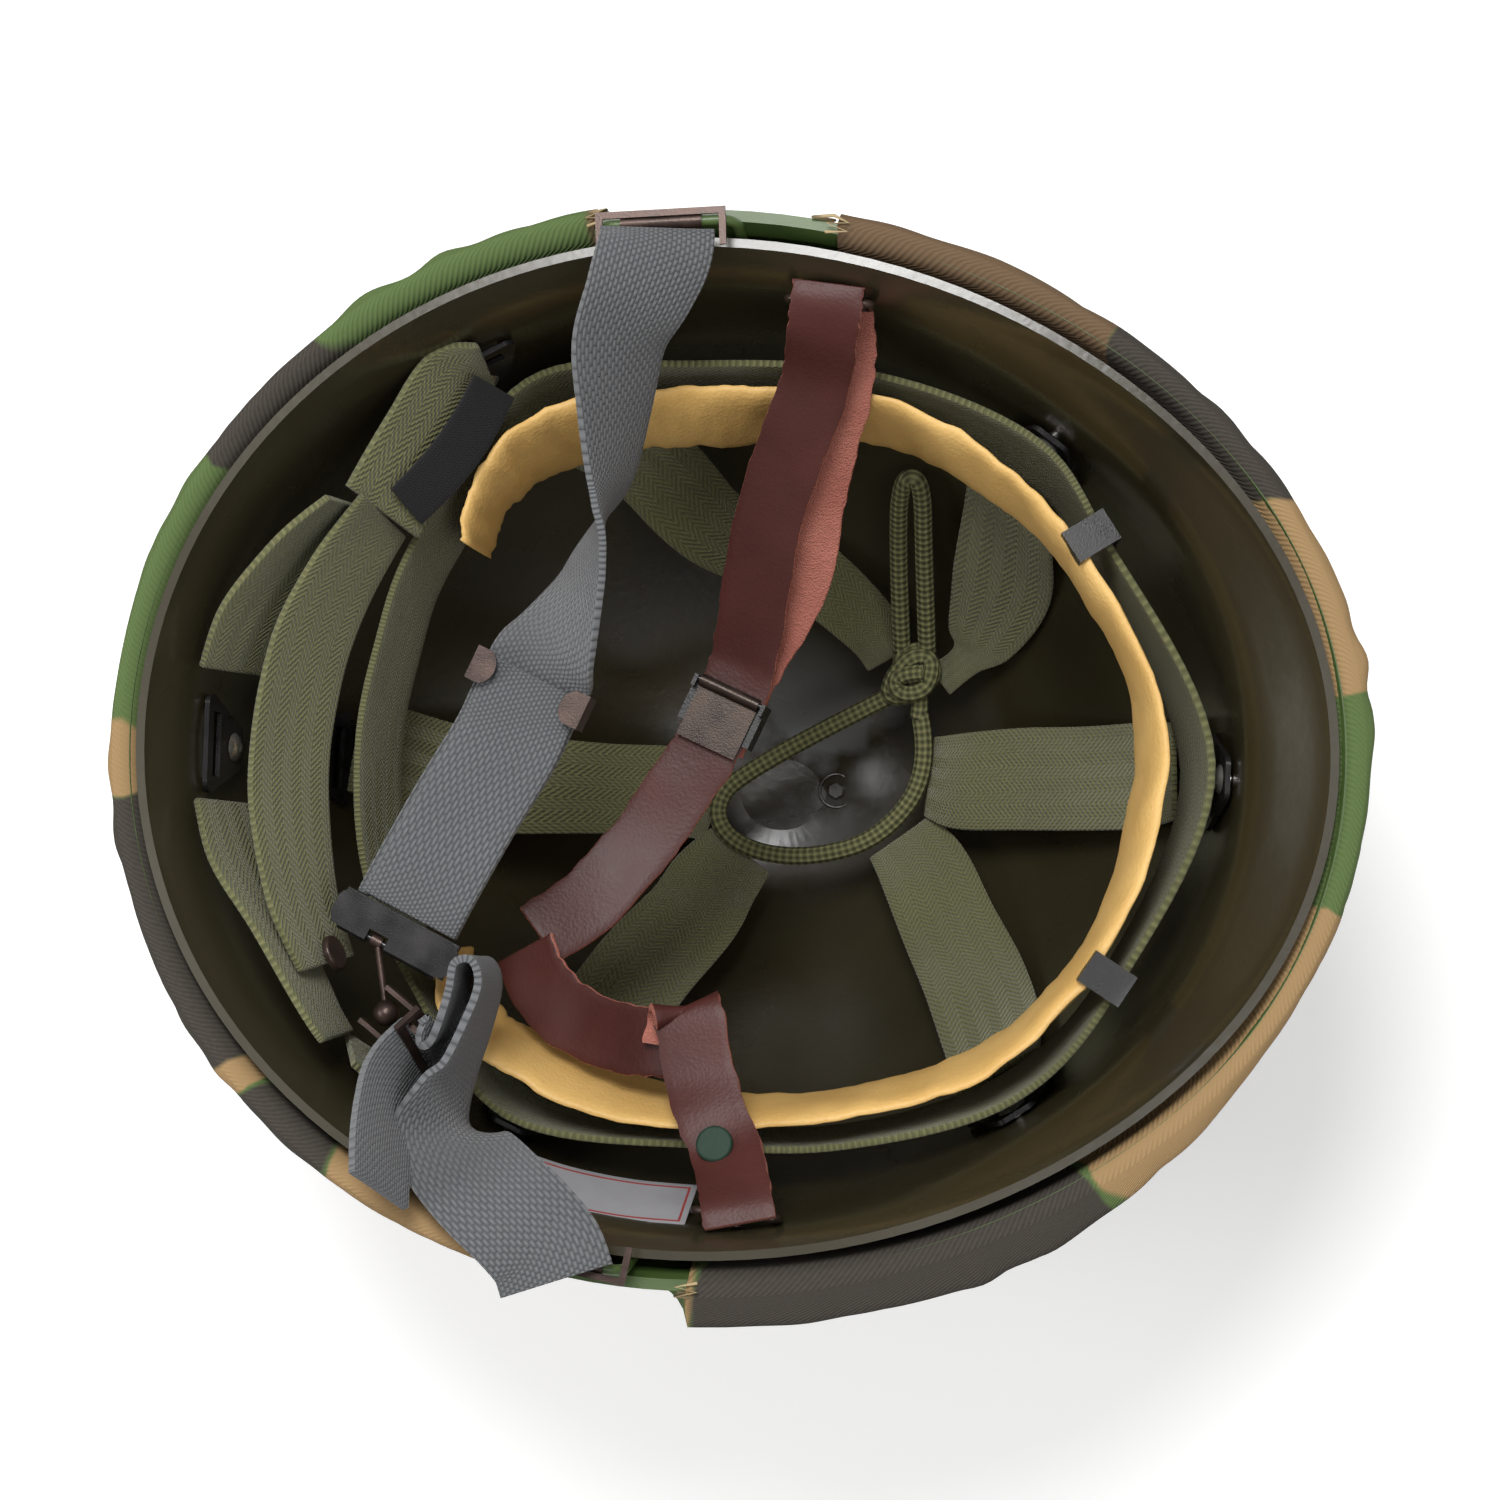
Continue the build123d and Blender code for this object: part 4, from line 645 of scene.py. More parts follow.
grey_web = web_finish("grey_web", (0.036, 0.037, 0.040), (0.165, 0.170, 0.178), hopsack, 0.9,
                      pitch=1.9, row=1.05)
web_width, web_thickness = 25.4, 1.7
long_stations = [
    (-19.6, 113.2, 183.6, 1.00, 0.02, 0.00, 1), (-20.0, 108.5, 183.3, 0.97, -0.05, -0.15, 1),
    (-23.3, 99.6, 180.5, 0.82, -0.14, -0.54, 1), (-28.0, 89.3, 175.0, 0.62, -0.10, -0.78, 1),
    (-29.3, 76.6, 167.5, 0.44, -0.04, -0.90, 1), (-30.5, 63.6, 160.5, 0.22, -0.03, -0.98, 1),
    (-31.8, 56.3, 158.0, 0.03, -0.01, -1.00, 1), (-33.6, 49.7, 156.5, -0.24, 0.07, -0.97, 1),
    (-35.8, 43.0, 155.5, -0.41, 0.13, -0.91, 1), (-38.4, 34.5, 154.3, -0.56, 0.22, -0.80, 1),
    (-43.3, 23.8, 152.6, -0.80, 0.35, -0.49, 1), (-46.6, 17.2, 151.0, -0.92, 0.38, 0.00, 1),
    (-50.4, 8.5, 151.0, -0.92, 0.40, 0.00, 1), (-54.1, 0.0, 151.0, -0.89, 0.46, 0.00, 1),
    (-62.5, -15.1, 151.0, -0.88, 0.47, 0.00, 1), (-70.9, -31.6, 151.0, -0.90, 0.44, 0.00, 1),
    (-74.6, -39.5, 151.0, -0.90, 0.43, 0.00, 1),
]
return_stations = [
    (-46.7, 15.3, 153.5, -0.91, 0.42, 0, 0.94), (-49.8, 8.5, 153.5, -0.92, 0.39, 0, 0.94),
    (-53.1, 0, 153.6, -0.9, 0.44, -0, 0.94), (-61.3, -15.1, 153.8, -0.88, 0.47, 0, 0.94),
    (-69.8, -31.6, 153.6, -0.89, 0.45, -0, 0.94), (-73.6, -39.5, 153.5, -0.9, 0.43, -0, 0.94),
]
short_stations = [
    (-30.3, -118.1, 186, 0.92, 0.4, 0, 1), (-33, -111.9, 186, 0.82, 0.58, -0.01, 1),
    (-39, -105.7, 185.3, 0.67, 0.73, -0.09, 1), (-46.4, -100, 182.2, 0.68, 0.69, -0.25, 1),
    (-53.8, -94, 176.9, 0.78, 0.48, -0.41, 1), (-59.2, -88.7, 171.1, 0.82, 0.04, -0.57, 1),
    (-60.5, -82.3, 167.9, 0.32, -0.38, -0.87, 1), (-58.6, -75.3, 165.4, 0.07, -0.23, -0.97, 1),
    (-54.9, -63.8, 164, 0.02, -0.09, -1, 1), (-52.7, -54.8, 163.7, -0, -0.02, -1, 1),
    (-54.1, -49.7, 163.7, 0.02, -0.02, -1, 1), (-57.6, -49.7, 163.5, 0.05, 0.05, -1, 1),
    (-58.9, -55.4, 163.2, 0.02, 0.06, -1, 1), (-60, -61, 162.8, 0.12, 0.23, -0.97, 1),
    (-61.2, -66.8, 160.2, 0.39, -0.12, -0.91, 1), (-65.1, -71, 162, 0.15, -0.5, -0.85, 1),
]
tail_stations = [
    (-66.9, -68.8, 160.1, 0.15, -0.5, -0.85, 1), (-69.7, -73.1, 161.9, 0.02, -0.79, -0.61, 1),
    (-71.3, -79.7, 173.9, 0.30, -0.62, -0.72, 0.9), (-70.8, -85.9, 183, 0.42, -0.42, -0.80, 0.8),
    (-69.7, -92.9, 190.1, 0.45, -0.36, -0.82, 0.8), (-68.6, -100.3, 194.5, 0.42, -0.34, -0.84, 0.8),
]
for name, stations, body, solid, ripple in (
        ("chin_web_long", long_stations, "long_strap_half", "chin_strap_long", 0.25),
        ("chin_web_return", return_stations, "long_strap_half", "chin_strap_return", 0.1),
        ("chin_web_short", short_stations, "short_strap_half", "chin_strap_short", 0.25),
        ("chin_web_tail", tail_stations, "short_strap_half", "chin_strap_tail", 0.25)):
    lay_strap(name, stations, web_width, web_thickness, body, [grey_web], solid, ripple)


# Washers and rivets of the suspension.
# Blackened triangular steel washers, slotted for the web, each held by one plated domed rivet.
# The rivets are bright zinc, dulled a little by handling.
plated_metal = mottled_finish(
    "plated_metal", (0.42, 0.41, 0.38), (0.62, 0.60, 0.56), 320, 0.28, metallic=0.9, bump=0.2)
dress(black_metal, *[name for name in nodes if name.startswith("washer_") and name != "washer_rivets"])
dress(plated_metal, "washer_rivets")


# Headband web.
# Olive herringbone cotton web one inch wide, drawn in straight runs from washer to washer.
# It stands on edge round the head, a little tighter at its lower edge.
herring, herring_in, herring_out = new_group(
    "herringbone", {"Pitch": 1.2, "Band": 3.2, "Slope": 1.0}, ["Height", "Shade"], vector=True)
herring_place = herring_in.outputs["Vector"]
herring_parts = parts_of(herring, herring_place)
herring_fold = sum_of(herring, "PINGPONG", herring_parts["Y"], herring_in.outputs["Band"])
herring_run = sum_of(herring, "MULTIPLY_ADD", herring_fold, herring_in.outputs["Slope"], herring_parts["X"])
herring_wave = sine_along(herring, herring_run, herring_in.outputs["Pitch"])
herring_rib = sum_of(herring, "MULTIPLY_ADD", herring_wave, 0.5, 0.5)
herring_thread = sum_of(herring, "MULTIPLY_ADD", sine_along(herring, herring_parts["Y"], 0.838), 0.5, 0.5)
herring_height = weighed(herring, herring_rib, 0.7, herring_thread, 0.3)
herring_shade = weighed(herring, herring_height, 0.55, grain(herring, herring_place, 1.3, 4.0), 0.55)
herring.links.new(herring_height, herring_out.inputs["Height"])
herring.links.new(herring_shade, herring_out.inputs["Shade"])
green_web = web_finish("green_web", (0.040, 0.042, 0.014), (0.215, 0.210, 0.088), herring, 0.9,
                       pitch=1.5, band=3.2, slope=1.0)
headband_top, headband_foot = 134.6, 109.1
headband_upper = [
    (-56.2, 86.4), (-16.7, 91.5), (23.3, 90.3), (61.0, 77.0),
    (79.4, 53.7), (105.7, 3.3), (86.8, -47.5), (64.1, -74.9),
    (26.5, -87.2), (-8.2, -88.9), (-52.2, -84.3), (-76.7, -54.2),
    (-88.1, -30.4), (-91.7, -2.5), (-88.6, 23.2), (-80.7, 48.6),
]
headband_lower = [
    (-52.8, 81.0), (-15.8, 87.0), (22.1, 85.8), (56.9, 72.0),
    (75.4, 51.0), (98.6, 3.1), (82.4, -45.1), (59.8, -70.0),
    (25.2, -82.9), (-7.8, -84.5), (-49.6, -80.1), (-72.8, -51.5),
    (-83.7, -28.9), (-87.1, -2.4), (-84.2, 22.0), (-76.7, 46.2),
]
headband_rows = smooth_rows(
    [(*a, headband_top, *b, headband_foot) for a, b in zip(headband_upper, headband_lower)], 10, closed=True)
headband_length = sum(math.dist(a[:3], b[:3]) for a, b in zip(headband_rows, headband_rows[1:]))
headband_shape = bmesh.new()
bmesh.ops.create_grid(headband_shape, x_segments=len(headband_rows) - 1, y_segments=8, size=0.5)
headband_flat = {}
for vert in headband_shape.verts:
    share, across = vert.co.x + 0.5, vert.co.y
    numbers = row_at(headband_rows, share)
    upper, lower = Vector(numbers[:3]), Vector(numbers[3:])
    spot = lower.lerp(upper, across + 0.5)
    outward = Vector((spot.x, spot.y, 0)).normalized()
    turn = share * 2 * math.pi
    sway = 0.3 * noise.noise(Vector((math.cos(turn) * 3, math.sin(turn) * 3, across * 0.7)))
    vert.co = (spot + outward * sway) * MM
    headband_flat[vert.index] = (share * headband_length, across * (upper - lower).length)
spread_map(headband_shape, headband_flat)
bmesh.ops.remove_doubles(headband_shape, verts=headband_shape.verts, dist=0.00002)
bmesh.ops.recalc_face_normals(headband_shape, faces=headband_shape.faces)
finish_strap("headband", headband_shape, web_thickness, "helmet", [green_web], "headband_web")


# Sweatband.
# Soft tan leather over a thin pad, open at the rear, clipped to the headband.
# Its edges are turned in, so it is plump between them, and it buckles where the clips pull it.
sweatband_upper = [
    (-69.0, 48.0, 140.0), (-67.8, 57.5, 141.7), (-62.9, 68.5, 141.7), (-54.0, 76.6, 141.7),
    (-37.7, 83.1, 141.7), (-14.5, 85.0, 141.7), (4.0, 85.3, 141.7), (31.7, 83.1, 141.7),
    (55.1, 69.5, 141.7), (74.0, 51.4, 141.7), (93.3, 17.6, 141.7), (94.6, -11.8, 141.7),
    (81.4, -45.2, 141.7), (61.1, -67.8, 141.7), (38.7, -77.9, 141.7), (3.9, -84.2, 141.7),
    (-29.3, -83.1, 141.7), (-53.3, -73.6, 141.7), (-63.5, -67.0, 141.7), (-68.8, -58.5, 141.7),
    (-69.0, -47.5, 140.0),
]
sweatband_lower = [
    (-68.0, 48.0), (-66.0, 55.5), (-60.5, 63.0), (-51.0, 69.5), (-32.4, 75.1), (-18.0, 76.0),
    (0.9, 78.5), (29.5, 76.8), (53.5, 65.0), (72.9, 47.5), (86.8, 20.0), (86.8, -12.8),
    (76.9, -43.2), (59.2, -60.6), (35.9, -72.7), (-0.1, -78.0), (-30.0, -73.5), (-52.6, -64.3),
    (-61.0, -59.5), (-66.5, -53.5), (-68.0, -47.0),
]
sweatband_foot = 110.9
sweat_rows = smooth_rows([(*a, *b, sweatband_foot) for a, b in zip(sweatband_upper, sweatband_lower)], 14)
sweat_around, sweat_length, sweat_girth = 20, 420, 66
sweat_shape = bmesh.new()
bmesh.ops.create_grid(sweat_shape, x_segments=len(sweat_rows) - 1, y_segments=sweat_around, size=0.5)
sweat_flat = {}
for vert in sweat_shape.verts:
    share, round_share = vert.co.x + 0.5, vert.co.y + 0.5
    numbers = row_at(sweat_rows, share)
    upper, lower = Vector(numbers[:3]), Vector(numbers[3:])
    angle = round_share * 2 * math.pi
    run = share * sweat_length
    pinch = 0.5 + 0.5 * noise.noise(Vector((run * 0.045, 0.0, 2.0)))
    crease = noise.noise(Vector((run * 0.11, math.cos(angle) * 0.8, 4.0)))
    crease += 0.5 * noise.noise(Vector((run * 0.33, math.cos(angle) * 1.7, 8.0)))
    level = math.copysign(abs(math.cos(angle)) ** 0.75, math.cos(angle))
    depth = math.copysign(abs(math.sin(angle)) ** 0.8, math.sin(angle))
    spot = upper.lerp(lower, 0.5 - 0.5 * level)
    inward = -Vector((spot.x - 5, spot.y, 0)).normalized()
    plump = (1.7 + 2.6 * pinch) if math.sin(angle) > 0 else 0.9
    spot += inward * (plump * depth + 0.9 * crease)
    spot.z += 1.5 * level * (noise.noise(Vector((run * 0.05, 7.0, 1.0))) - 0.3)
    vert.co = spot * MM
    sweat_flat[vert.index] = (run, round_share * sweat_girth)
spread_map(sweat_shape, sweat_flat)
bmesh.ops.remove_doubles(sweat_shape, verts=sweat_shape.verts, dist=0.00002)
bmesh.ops.holes_fill(sweat_shape, edges=[edge for edge in sweat_shape.edges if edge.is_boundary], sides=0)
bmesh.ops.recalc_face_normals(sweat_shape, faces=sweat_shape.faces)

hide, hide_in, hide_out = new_group("hide_grain", {"Size": 900}, ["Height"])
hide_place = hide.nodes.new("ShaderNodeTexCoord").outputs["Object"]
hide_cells = hide.nodes.new("ShaderNodeTexVoronoi")
hide.links.new(hide_place, hide_cells.inputs["Vector"])
hide.links.new(hide_in.outputs["Size"], hide_cells.inputs["Scale"])
hide_height = sum_of(hide, "ADD", hide_cells.outputs["Distance"], grain(hide, hide_place, 500.0, 4.0))
hide.links.new(hide_height, hide_out.inputs["Height"])


def leather_finish(name, dark, pale, size, roughness, bump):
    """Leather with a fine grain and a slow change of colour."""
    material, tree, shader = new_material(name, {"Specular IOR Level": 0.32})
    tone = placed(tree, mottle, scale=55.0, contrast=1.8)
    skin = placed(tree, hide, size=size)
    tree.links.new(mixed(tree, tone.outputs["Mask"], dark, pale), shader.inputs["Base Color"])
    rough = sum_of(tree, "MULTIPLY_ADD", tone.outputs["Mask"], 0.1, roughness)
    tree.links.new(rough, shader.inputs["Roughness"])
    bumped(tree, skin.outputs["Height"], bump, 0.0003)
    return material


tan_leather = leather_finish("tan_leather", (0.60, 0.36, 0.11), (0.74, 0.48, 0.17), 1100.0, 0.42, 0.35)
tan_sweatband = new_piece("tan_sweatband", sweat_shape, tan_leather)
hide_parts("sweatband")
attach(tan_sweatband, "helmet")
dress(black_metal, "sweatband_clips")


# Nape strap with its four tabs.
# The same olive herringbone web, hung across the rear from two side tabs and two rear tabs.
# The tabs fold through the slots of the nape washers.
nape_stations = [
    (-85.1, 52, 149.6, 0.21, -0.23, -0.95, 1), (-93.5, 37.3, 151.4, 0.34, -0.23, -0.91, 1),
    (-100.2, 20.3, 152.1, 0.47, -0.14, -0.87, 1), (-103.3, 0, 152.1, 0.5, -0.04, -0.87, 1),
    (-102.9, -16.9, 152.1, 0.5, 0.07, -0.87, 1), (-98.9, -36.2, 151.7, 0.39, 0.15, -0.91, 1),
    (-92.8, -51.4, 150.7, 0.26, 0.17, -0.95, 1),
]
tab_stations = {
    "nape_tab_right": [
        (-63.0, 87.0, 148.0, 0.30, -0.22, -0.92, 0.8), (-69.8, 82.7, 149.0, 0.44, -0.26, -0.86, 1),
        (-76.9, 69.2, 150.5, 0.50, -0.24, -0.83, 1), (-84.8, 52.3, 153.0, 0.53, -0.25, -0.81, 1)],
    "nape_tab_rear_right": [
        (-118.4, 14.7, 150.7, 0.41, 0, -0.91, 0.9), (-113, 27.7, 153.1, 0.38, -0.05, -0.92, 1),
        (-102.9, 42.4, 155.6, 0.26, -0.05, -0.96, 1), (-92.1, 53.7, 157.5, 0.14, 0.04, -0.99, 1)],
    "nape_tab_rear_left": [
        (-118.2, -15.2, 150, 0.41, 0.02, -0.91, 0.9), (-113, -28.2, 152.1, 0.39, 0.04, -0.92, 1),
        (-103.6, -43.5, 154.9, 0.25, -0, -0.97, 1), (-94.1, -58.8, 157, 0.14, 0.02, -0.99, 1),
        (-88.1, -67.8, 156.6, 0.05, 0.07, -1, 1)],
    "nape_tab_left": [
        (-86.1, -70.4, 152.1, -0.27, 0.24, -0.93, 1), (-80.9, -74.1, 149.6, -0.2, 0.25, -0.95, 0.95),
        (-75.3, -77.7, 147.8, -0.12, 0.27, -0.96, 0.85)],
}
nape_straps = [("nape_web", nape_stations, "nape_strap")]
nape_straps += [(name.replace("nape", "web"), stations, name) for name, stations in tab_stations.items()]
for name, stations, solid in nape_straps:
    lay_strap(name, stations, web_width, web_thickness, "helmet", [green_web], solid)


# Crown webs.
# Six lengths of the olive web hang from the headband, and their narrowed ends meet at the crown lace.
# Each hangs slack enough to keep the head off the liner.
crown_stations = {
    "crown_web_rear": [
        (-98.9, 2.1, 103.8, 0.08, 0.99, -0.11, 0.9), (-91.5, -0.2, 88, 0.06, 0.99, -0.1, 1),
        (-75.6, -3.1, 66, 0.02, 1, -0.03, 1), (-49, -2.4, 44, -0.01, 1, 0.01, 0.9),
        (-28.9, -2.3, 36.1, -0, 1, 0, 0.9), (-20.6, -5.2, 31.6, 0.2, 0.98, 0, 0.75)],
    "crown_web_rear_right": [
        (-50.4, 80.3, 103.8, 0.75, 0.51, 0.42, 0.9), (-35.9, 76.6, 82.4, 0.77, 0.51, 0.38, 0.95),
        (-19.5, 61.6, 66.9, 0.57, 0.82, 0.08, 0.8), (-0.5, 55.4, 46.6, 0.51, 0.86, 0.05, 0.72),
        (16.8, 41.8, 38, 0.61, 0.79, -0.02, 0.6), (22.5, 33.5, 37.4, 0.72, 0.69, 0, 0.5)],
    "crown_web_front_right": [
        (54.8, 71.3, 103.8, 0.86, -0.47, 0.18, 0.9), (54, 62.4, 84, 0.84, -0.5, 0.19, 1),
        (51.3, 49.3, 62, 0.93, -0.37, 0.02, 1), (45.5, 38.4, 45.9, 0.86, -0.52, 0.01, 0.7),
        (42, 33.6, 41.9, 0.81, -0.59, 0.01, 0.35), (35.5, 28.5, 38.6, 0.75, -0.66, 0, 0.35)],
    "crown_web_front": [
        (96.7, 3.1, 103.8, -0.03, 1, 0.02, 0.9), (88, 3.1, 84, -0.03, 1, 0.02, 1),
        (72.8, 3.2, 64.1, 0.01, 1, 0.01, 1), (57.3, 3.5, 50, -0, 1, -0, 1),
        (42, 3.1, 40, -0.02, 1, -0.01, 0.95), (33.6, 4.4, 33.6, -0.04, 1, 0, 0.8)],
    "crown_web_front_left": [
        (57.9, -69.2, 103.8, 0.84, 0.53, 0.12, 0.9), (55.6, -61.2, 84, 0.83, 0.55, 0.11, 1),
        (49, -47.1, 62, 0.91, 0.41, -0.06, 1), (41.2, -33.9, 48, 0.89, 0.46, -0.05, 0.95),
        (33.6, -19.8, 38, 0.89, 0.45, -0.04, 0.9), (26.6, -11.0, 31.8, 0.85, 0.53, 0, 0.75)],
    "crown_web_rear_left": [
        (-49.8, -78, 103.8, 0.91, -0.42, 0.05, 0.9), (-41, -62.3, 76, 0.91, -0.42, 0.04, 1),
        (-32.7, -45.5, 54, 0.87, -0.49, 0.02, 1), (-24.3, -33.4, 42.1, 0.86, -0.51, 0.01, 0.95),
        (-19.8, -24.3, 37, 0.89, -0.46, -0.03, 0.9), (-14.2, -16.2, 31.0, 0.84, -0.54, 0, 0.75)],
}
crown_web_thickness = 1.5
for name, stations in crown_stations.items():
    lay_strap(name.replace("crown_web", "crown"), stations, web_width, crown_web_thickness, "helmet",
              [green_web], name, ripple=0.5)


# Crown lace with its looped end and its knot.
# Round braided cotton lace, laid in a ring at the ends of the six webs and tied.
# Its doubled end hangs from the knot up to the headband.
lace_routes = {
    "crown_lace": [
        (22.1, 23.7, 37.3), (-14.8, 4.0, 34.0), (-21.7, -6.4, 33.1), (-15.3, -15.1, 33.1),
        (1.3, -18.0, 33.1), (21.7, -12.4, 34.0), (34.3, 5.7, 36.1), (30.7, 19.8, 38.0)],
    "lace_end": [
        (25.8, 34.1, 40.0), (25.3, 57.3, 59.0), (26.9, 73.5, 80.1), (32.5, 74.1, 81.0),
        (32.0, 57.2, 61.6), (32.3, 34.1, 41.4)],
}
knot_route = [
    (30.4, 18.6, 37.9), (31.2, 23.5, 39.4), (28.5, 29.0, 41.0), (24.5, 33.0, 41.5), (31.0, 36.5, 43.0),
    (35.0, 29.5, 41.5), (29.0, 24.5, 39.5), (22.6, 23.4, 39.2), (23.5, 28.0, 42.5), (28.5, 34.0, 44.5),
    (34.0, 33.5, 43.5), (32.5, 25.0, 43.5), (25.0, 24.0, 42.5), (24.5, 29.5, 44.0), (32.0, 29.5, 46.0),
]
lace_radius, knot_radius = 2.3, 2.2
braid, braid_in, braid_out = new_group("braid", {"Pitch": 3.4}, ["Height"], vector=True)
braid_parts = parts_of(braid, braid_in.outputs["Vector"])
braid_waves = []
for operation in ("ADD", "SUBTRACT"):
    braid_run = sum_of(braid, operation, braid_parts["X"], braid_parts["Y"])
    braid_waves.append(sine_along(braid, braid_run, braid_in.outputs["Pitch"]))
braid_rib = sum_of(braid, "MULTIPLY_ADD", sum_of(braid, "MULTIPLY", *braid_waves), 0.5, 0.5)
braid.links.new(braid_rib, braid_out.inputs["Height"])
green_lace, tree, shader = new_material("green_lace", {"Roughness": 0.9})
strands = woven(tree, braid, pitch=3.6)
tree.links.new(mixed(tree, strands.outputs["Height"], (0.034, 0.036, 0.013), (0.200, 0.195, 0.085)),
               shader.inputs["Base Color"])
bumped(tree, strands.outputs["Height"], 0.9, 0.0008)


def route_points(name, route):
    """Points of a smooth spline led by a route's places."""
    line = bpy.data.curves.new(name + "_route", "CURVE")
    line.dimensions = "3D"
    line.resolution_u = 12
    spline = line.splines.new("NURBS")
    spline.points.add(len(route) - 1)
    for point, spot in zip(spline.points, route):
        point.co = (*(Vector(spot) * MM), 1)
    spline.order_u = 3
    spline.use_endpoint_u = True
    guide = bpy.data.objects.new(name + "_route", line)
    sampled = bpy.data.meshes.new_from_object(guide)
    spots = [vert.co.copy() for vert in sampled.vertices]
    bpy.data.meshes.remove(sampled)
    bpy.data.objects.remove(guide)
    return spots


def lay_cord(name, spots, radius, replaced):
    """Round lace along sampled places, mapped in millimetres along and round it, with its length."""
    shape = bmesh.new()
    bmesh.ops.create_grid(shape, x_segments=len(spots) - 1, y_segments=14, size=0.5)
    lengths = [0.0]
    for before, after in zip(spots, spots[1:]):
        lengths.append(lengths[-1] + (after - before).length)
    flat = {}
    for vert in shape.verts:
        index = round((vert.co.x + 0.5) * (len(spots) - 1))
        angle = (vert.co.y + 0.5) * 2 * math.pi
        ahead = (spots[min(index + 1, len(spots) - 1)] - spots[max(index - 1, 0)]).normalized()
        side = ahead.cross(Vector((0.3, 0.1, 1))).normalized()
        lift = side.cross(ahead)
        vert.co = spots[index] + (side * math.cos(angle) + lift * math.sin(angle)) * radius
        flat[vert.index] = (lengths[index] / MM, angle * radius / MM)
    spread_map(shape, flat)
    bmesh.ops.remove_doubles(shape, verts=shape.verts, dist=0.000001)
    bmesh.ops.holes_fill(shape, edges=[edge for edge in shape.edges if edge.is_boundary], sides=0)
    bmesh.ops.recalc_face_normals(shape, faces=shape.faces)
    piece = new_piece(name, shape, green_lace)
    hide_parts(replaced)
    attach(piece, "helmet")
    return piece, lengths[-1]


lay_cord("lace_tie", route_points("lace_knot", knot_route), knot_radius * MM, "lace_knot")
for name, route in lace_routes.items():
    spots = route_points(name, route)
    lace, lace_length = lay_cord(name.replace("lace", "cord"), spots, lace_radius * MM, name)


# Leather chin strap of the liner.
# Burgundy grain leather with a pink suede back, folded double through its sliding buckle.
# It hangs from a wire at each end, and its cut edges show the pink suede.
red_leather = leather_finish("red_leather", (0.044, 0.011, 0.009), (0.072, 0.018, 0.014), 1300.0, 0.42, 0.16)
pink_suede = leather_finish("pink_suede", (0.27, 0.085, 0.064), (0.46, 0.175, 0.132), 2200.0, 0.85, 0.9)
upper_stations = [
    (17.2, 104.8, 167.0, 0.99, -0.15, 0, 1), (16.6, 99.6, 166.4, 0.99, -0.17, -0.03, 1),
    (15.6, 94.0, 161.6, 0.98, -0.2, -0.08, 1),
    (13.2, 84.8, 150.7, 0.95, -0.29, -0.08, 1), (8.3, 73.5, 142.9, 0.94, -0.33, -0.09, 1),
    (2.4, 58.8, 133.4, 0.96, -0.27, -0.04, 1), (-1.5, 41.8, 123.2, 0.98, -0.21, 0, 1),
    (-4.3, 27.7, 114.8, 0.97, -0.23, 0.04, 1), (-6.3, 19.8, 112.3, 0.94, -0.34, 0.01, 1),
    (-12.5, 5, 112.3, 0.9, -0.44, -0, 1), (-19.2, -6.3, 112.1, 0.85, -0.53, 0, 1),
    (-27.8, -19.8, 113, 0.81, -0.58, 0, 1), (-38.5, -33.3, 116.7, 0.73, -0.68, 0.02, 1),
    (-49.1, -42.1, 121.4, 0.65, -0.76, 0.04, 1),
]
under_stations = [
    (18.4, 101.0, 158.0, 0.96, -0.1, -0.25, 1), (18.6, 93.0, 149.6, 0.96, -0.1, -0.25, 1),
    (17.6, 83.6, 144.7, 0.96, -0.17, -0.24, 1), (14.3, 73.5, 137.3, 0.95, -0.2, -0.24, 1),
    (10.4, 58.8, 127.4, 0.96, -0.17, -0.21, 1), (6.8, 42.8, 117, 0.96, -0.23, -0.17, 1),
    (-2.7, 27.1, 109.1, 0.92, -0.39, -0.04, 1), (-6.3, 19.8, 107.7, 0.91, -0.41, -0, 1),
    (-12.5, 5, 107.7, 0.92, -0.39, 0, 1),
]
lower_stations = [
    (-51.8, -45.2, 124.6, 0.81, 0.5, 0.31, 1), (-47.7, -53.1, 126.7, 0.72, 0.67, 0.21, 1),
    (-39.3, -60.5, 130.6, 0.46, 0.88, 0.09, 1), (-26.8, -65, 135.2, 0.19, 0.98, 0.09, 1),
    (-17.5, -65.5, 138.7, 0.04, 1, 0.04, 1), (-9.0, -66.0, 140.2, 0.04, 1, 0.04, 1),
]
end_stations = [
    (-12.4, -66.8, 141.2, 0.93, 0.34, 0.07, 1), (-11.6, -60.6, 141.8, 0.95, 0.30, 0.07, 1),
    (-10.6, -58.0, 143.8, 0.96, 0.26, 0.07, 1), (-9.3, -61.0, 145.2, 0.97, 0.24, 0.07, 1),
    (-6.5, -72.3, 146.4, 0.95, 0.3, 0.06, 1), (-3.5, -80.2, 149.6, 0.92, 0.39, -0.06, 1),
    (0.7, -88.1, 152.8, 0.9, 0.43, -0.05, 1), (4.0, -95.5, 160.5, 0.95, 0.32, -0.04, 1),
    (5.6, -100.5, 165.6, 0.98, 0.21, -0.01, 1), (6.6, -104.6, 167.0, 0.99, 0.14, 0, 1),
]
leather_width, leather_thickness = 16.0, 1.7
for name, stations, skins, solid in (
        ("leather_upper", upper_stations, [red_leather, pink_suede], "leather_strap_upper"),
        ("leather_under", under_stations, [pink_suede], "leather_strap_return"),
        ("leather_lower", lower_stations, [red_leather, pink_suede], "leather_strap_lower"),
        ("leather_end", end_stations, [red_leather, pink_suede], "leather_strap_end")):
    lay_strap(name, stations, leather_width, leather_thickness, "leather_strap", skins, solid,
              ripple=0.4, ragged=0.5)
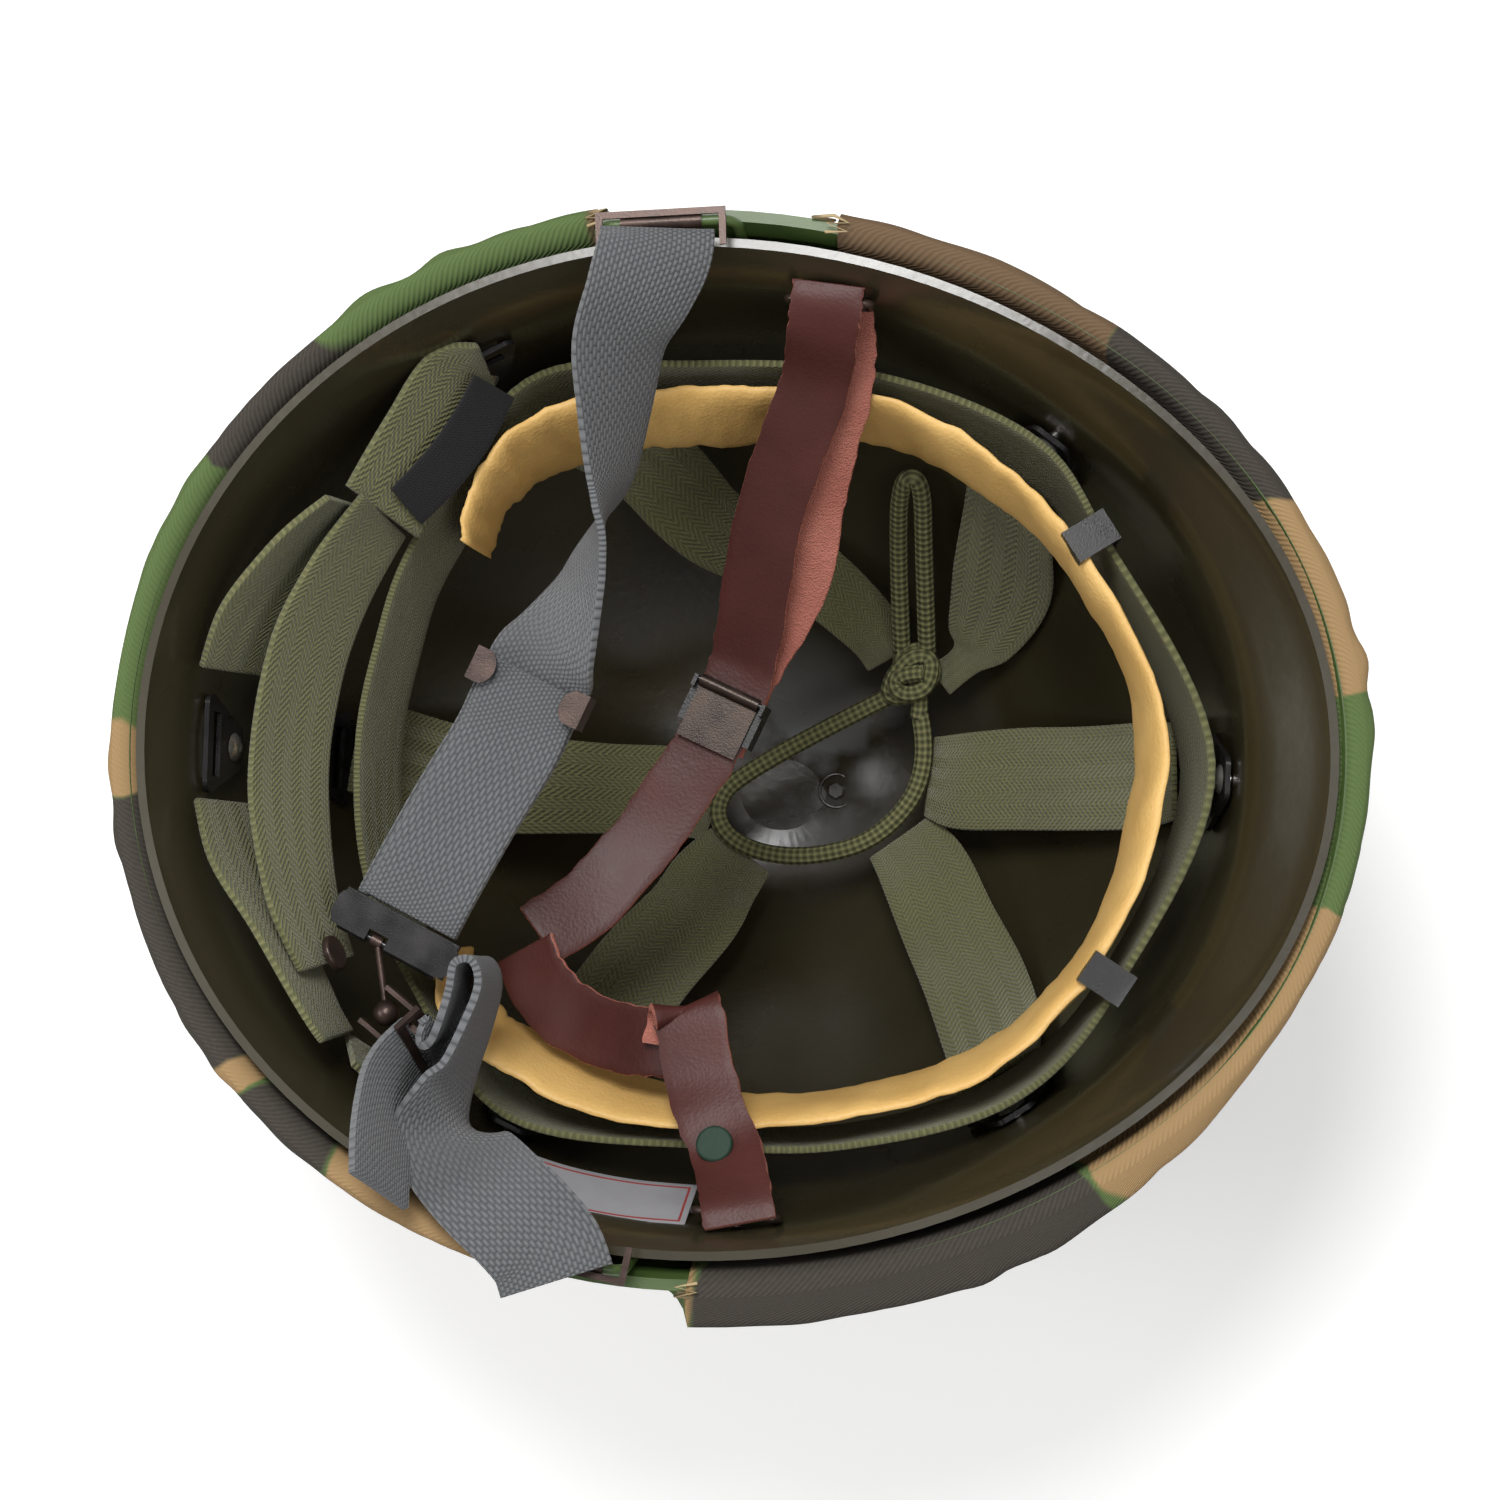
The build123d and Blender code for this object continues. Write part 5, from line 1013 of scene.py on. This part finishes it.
green_enamel = mottled_finish(
    "green_enamel", (0.014, 0.034, 0.022), (0.024, 0.046, 0.032), 260, 0.5, shine=0.15)
dress(green_enamel, "leather_snap")
dark_bronze = mottled_finish(
    "dark_bronze", (0.016, 0.011, 0.009), (0.048, 0.032, 0.024), 160, 0.34, metallic=0.6, bump=0.2)
dress(black_metal, "leather_buckle_sleeve")
dress(dark_bronze, "leather_buckle_plate")


# Black tag at the right tab and grey label on the liner's wall, both left bare.
# The tag is a woven ribbon behind the tab, and the label is a thin plastic foil with a red line round it.
# Neither carries any lettering.
black_ribbon = web_finish("black_ribbon", (0.005, 0.005, 0.006), (0.016, 0.016, 0.018), herring, 0.4,
                          pitch=0.7, band=0.7, slope=0.6)
black_ribbon.node_tree.nodes["Principled BSDF"].inputs["Sheen Weight"].default_value = 0.02
tag_stations = [
    (-61.0, 82.6, 149.0, 0.53, -0.24, -0.81, 1), (-65.6, 72.8, 149.0, 0.53, -0.30, -0.79, 1),
    (-72.0, 62.8, 150.0, 0.49, -0.37, -0.79, 1), (-79.6, 53.8, 151.5, 0.44, -0.38, -0.81, 1),
]
lay_strap("ribbon_tag", tag_stations, 14.0, 0.45, "helmet", [black_ribbon], "black_tag",
          ripple=0.1)
label_length, label_width, red_line_inset, red_line_half = 45.6, 20.0, 1.8, 0.35
label_foil, tree, shader = new_material("label_foil", {})
foil_map = tree.nodes.new("ShaderNodeUVMap")
foil_map.uv_map = "UVMap"
foil_parts = parts_of(tree, foil_map.outputs[0])
from_middle = sum_of(tree, "ABSOLUTE", sum_of(tree, "SUBTRACT", foil_parts["X"], label_length / 2))
from_end = sum_of(tree, "SUBTRACT", label_length / 2, from_middle)
from_side = sum_of(tree, "SUBTRACT", label_width / 2, sum_of(tree, "ABSOLUTE", foil_parts["Y"]))
edge_gap = sum_of(tree, "MINIMUM", from_side, from_end)
red_line = sum_of(tree, "COMPARE", edge_gap, red_line_inset, red_line_half)
foil_tone = placed(tree, mottle, scale=80.0, contrast=1.5)
foil_colour = mixed(tree, foil_tone.outputs["Mask"], (0.24, 0.24, 0.26), (0.34, 0.34, 0.36))
tree.links.new(mixed(tree, red_line, foil_colour, (0.30, 0.045, 0.045)), shader.inputs["Base Color"])
tree.links.new(sum_of(tree, "MULTIPLY_ADD", foil_tone.outputs["Mask"], 0.1, 0.34), shader.inputs["Roughness"])
bumped(tree, foil_tone.outputs["Speckle"], 0.1, 0.0001)
label_stations = [
    (-52.0, -94.6, 150.3, -0.14, -0.38, 0.91, 1), (-37.0, -98.8, 150.3, -0.09, -0.40, 0.91, 1),
    (-21.4, -101.2, 150.3, -0.03, -0.42, 0.91, 1), (-6.5, -101.8, 150.3, 0.01, -0.42, 0.91, 1),
]
lay_strap("foil_label", label_stations, label_width, 0.3, "helmet", [label_foil],
          "wall_label", ripple=0.0)
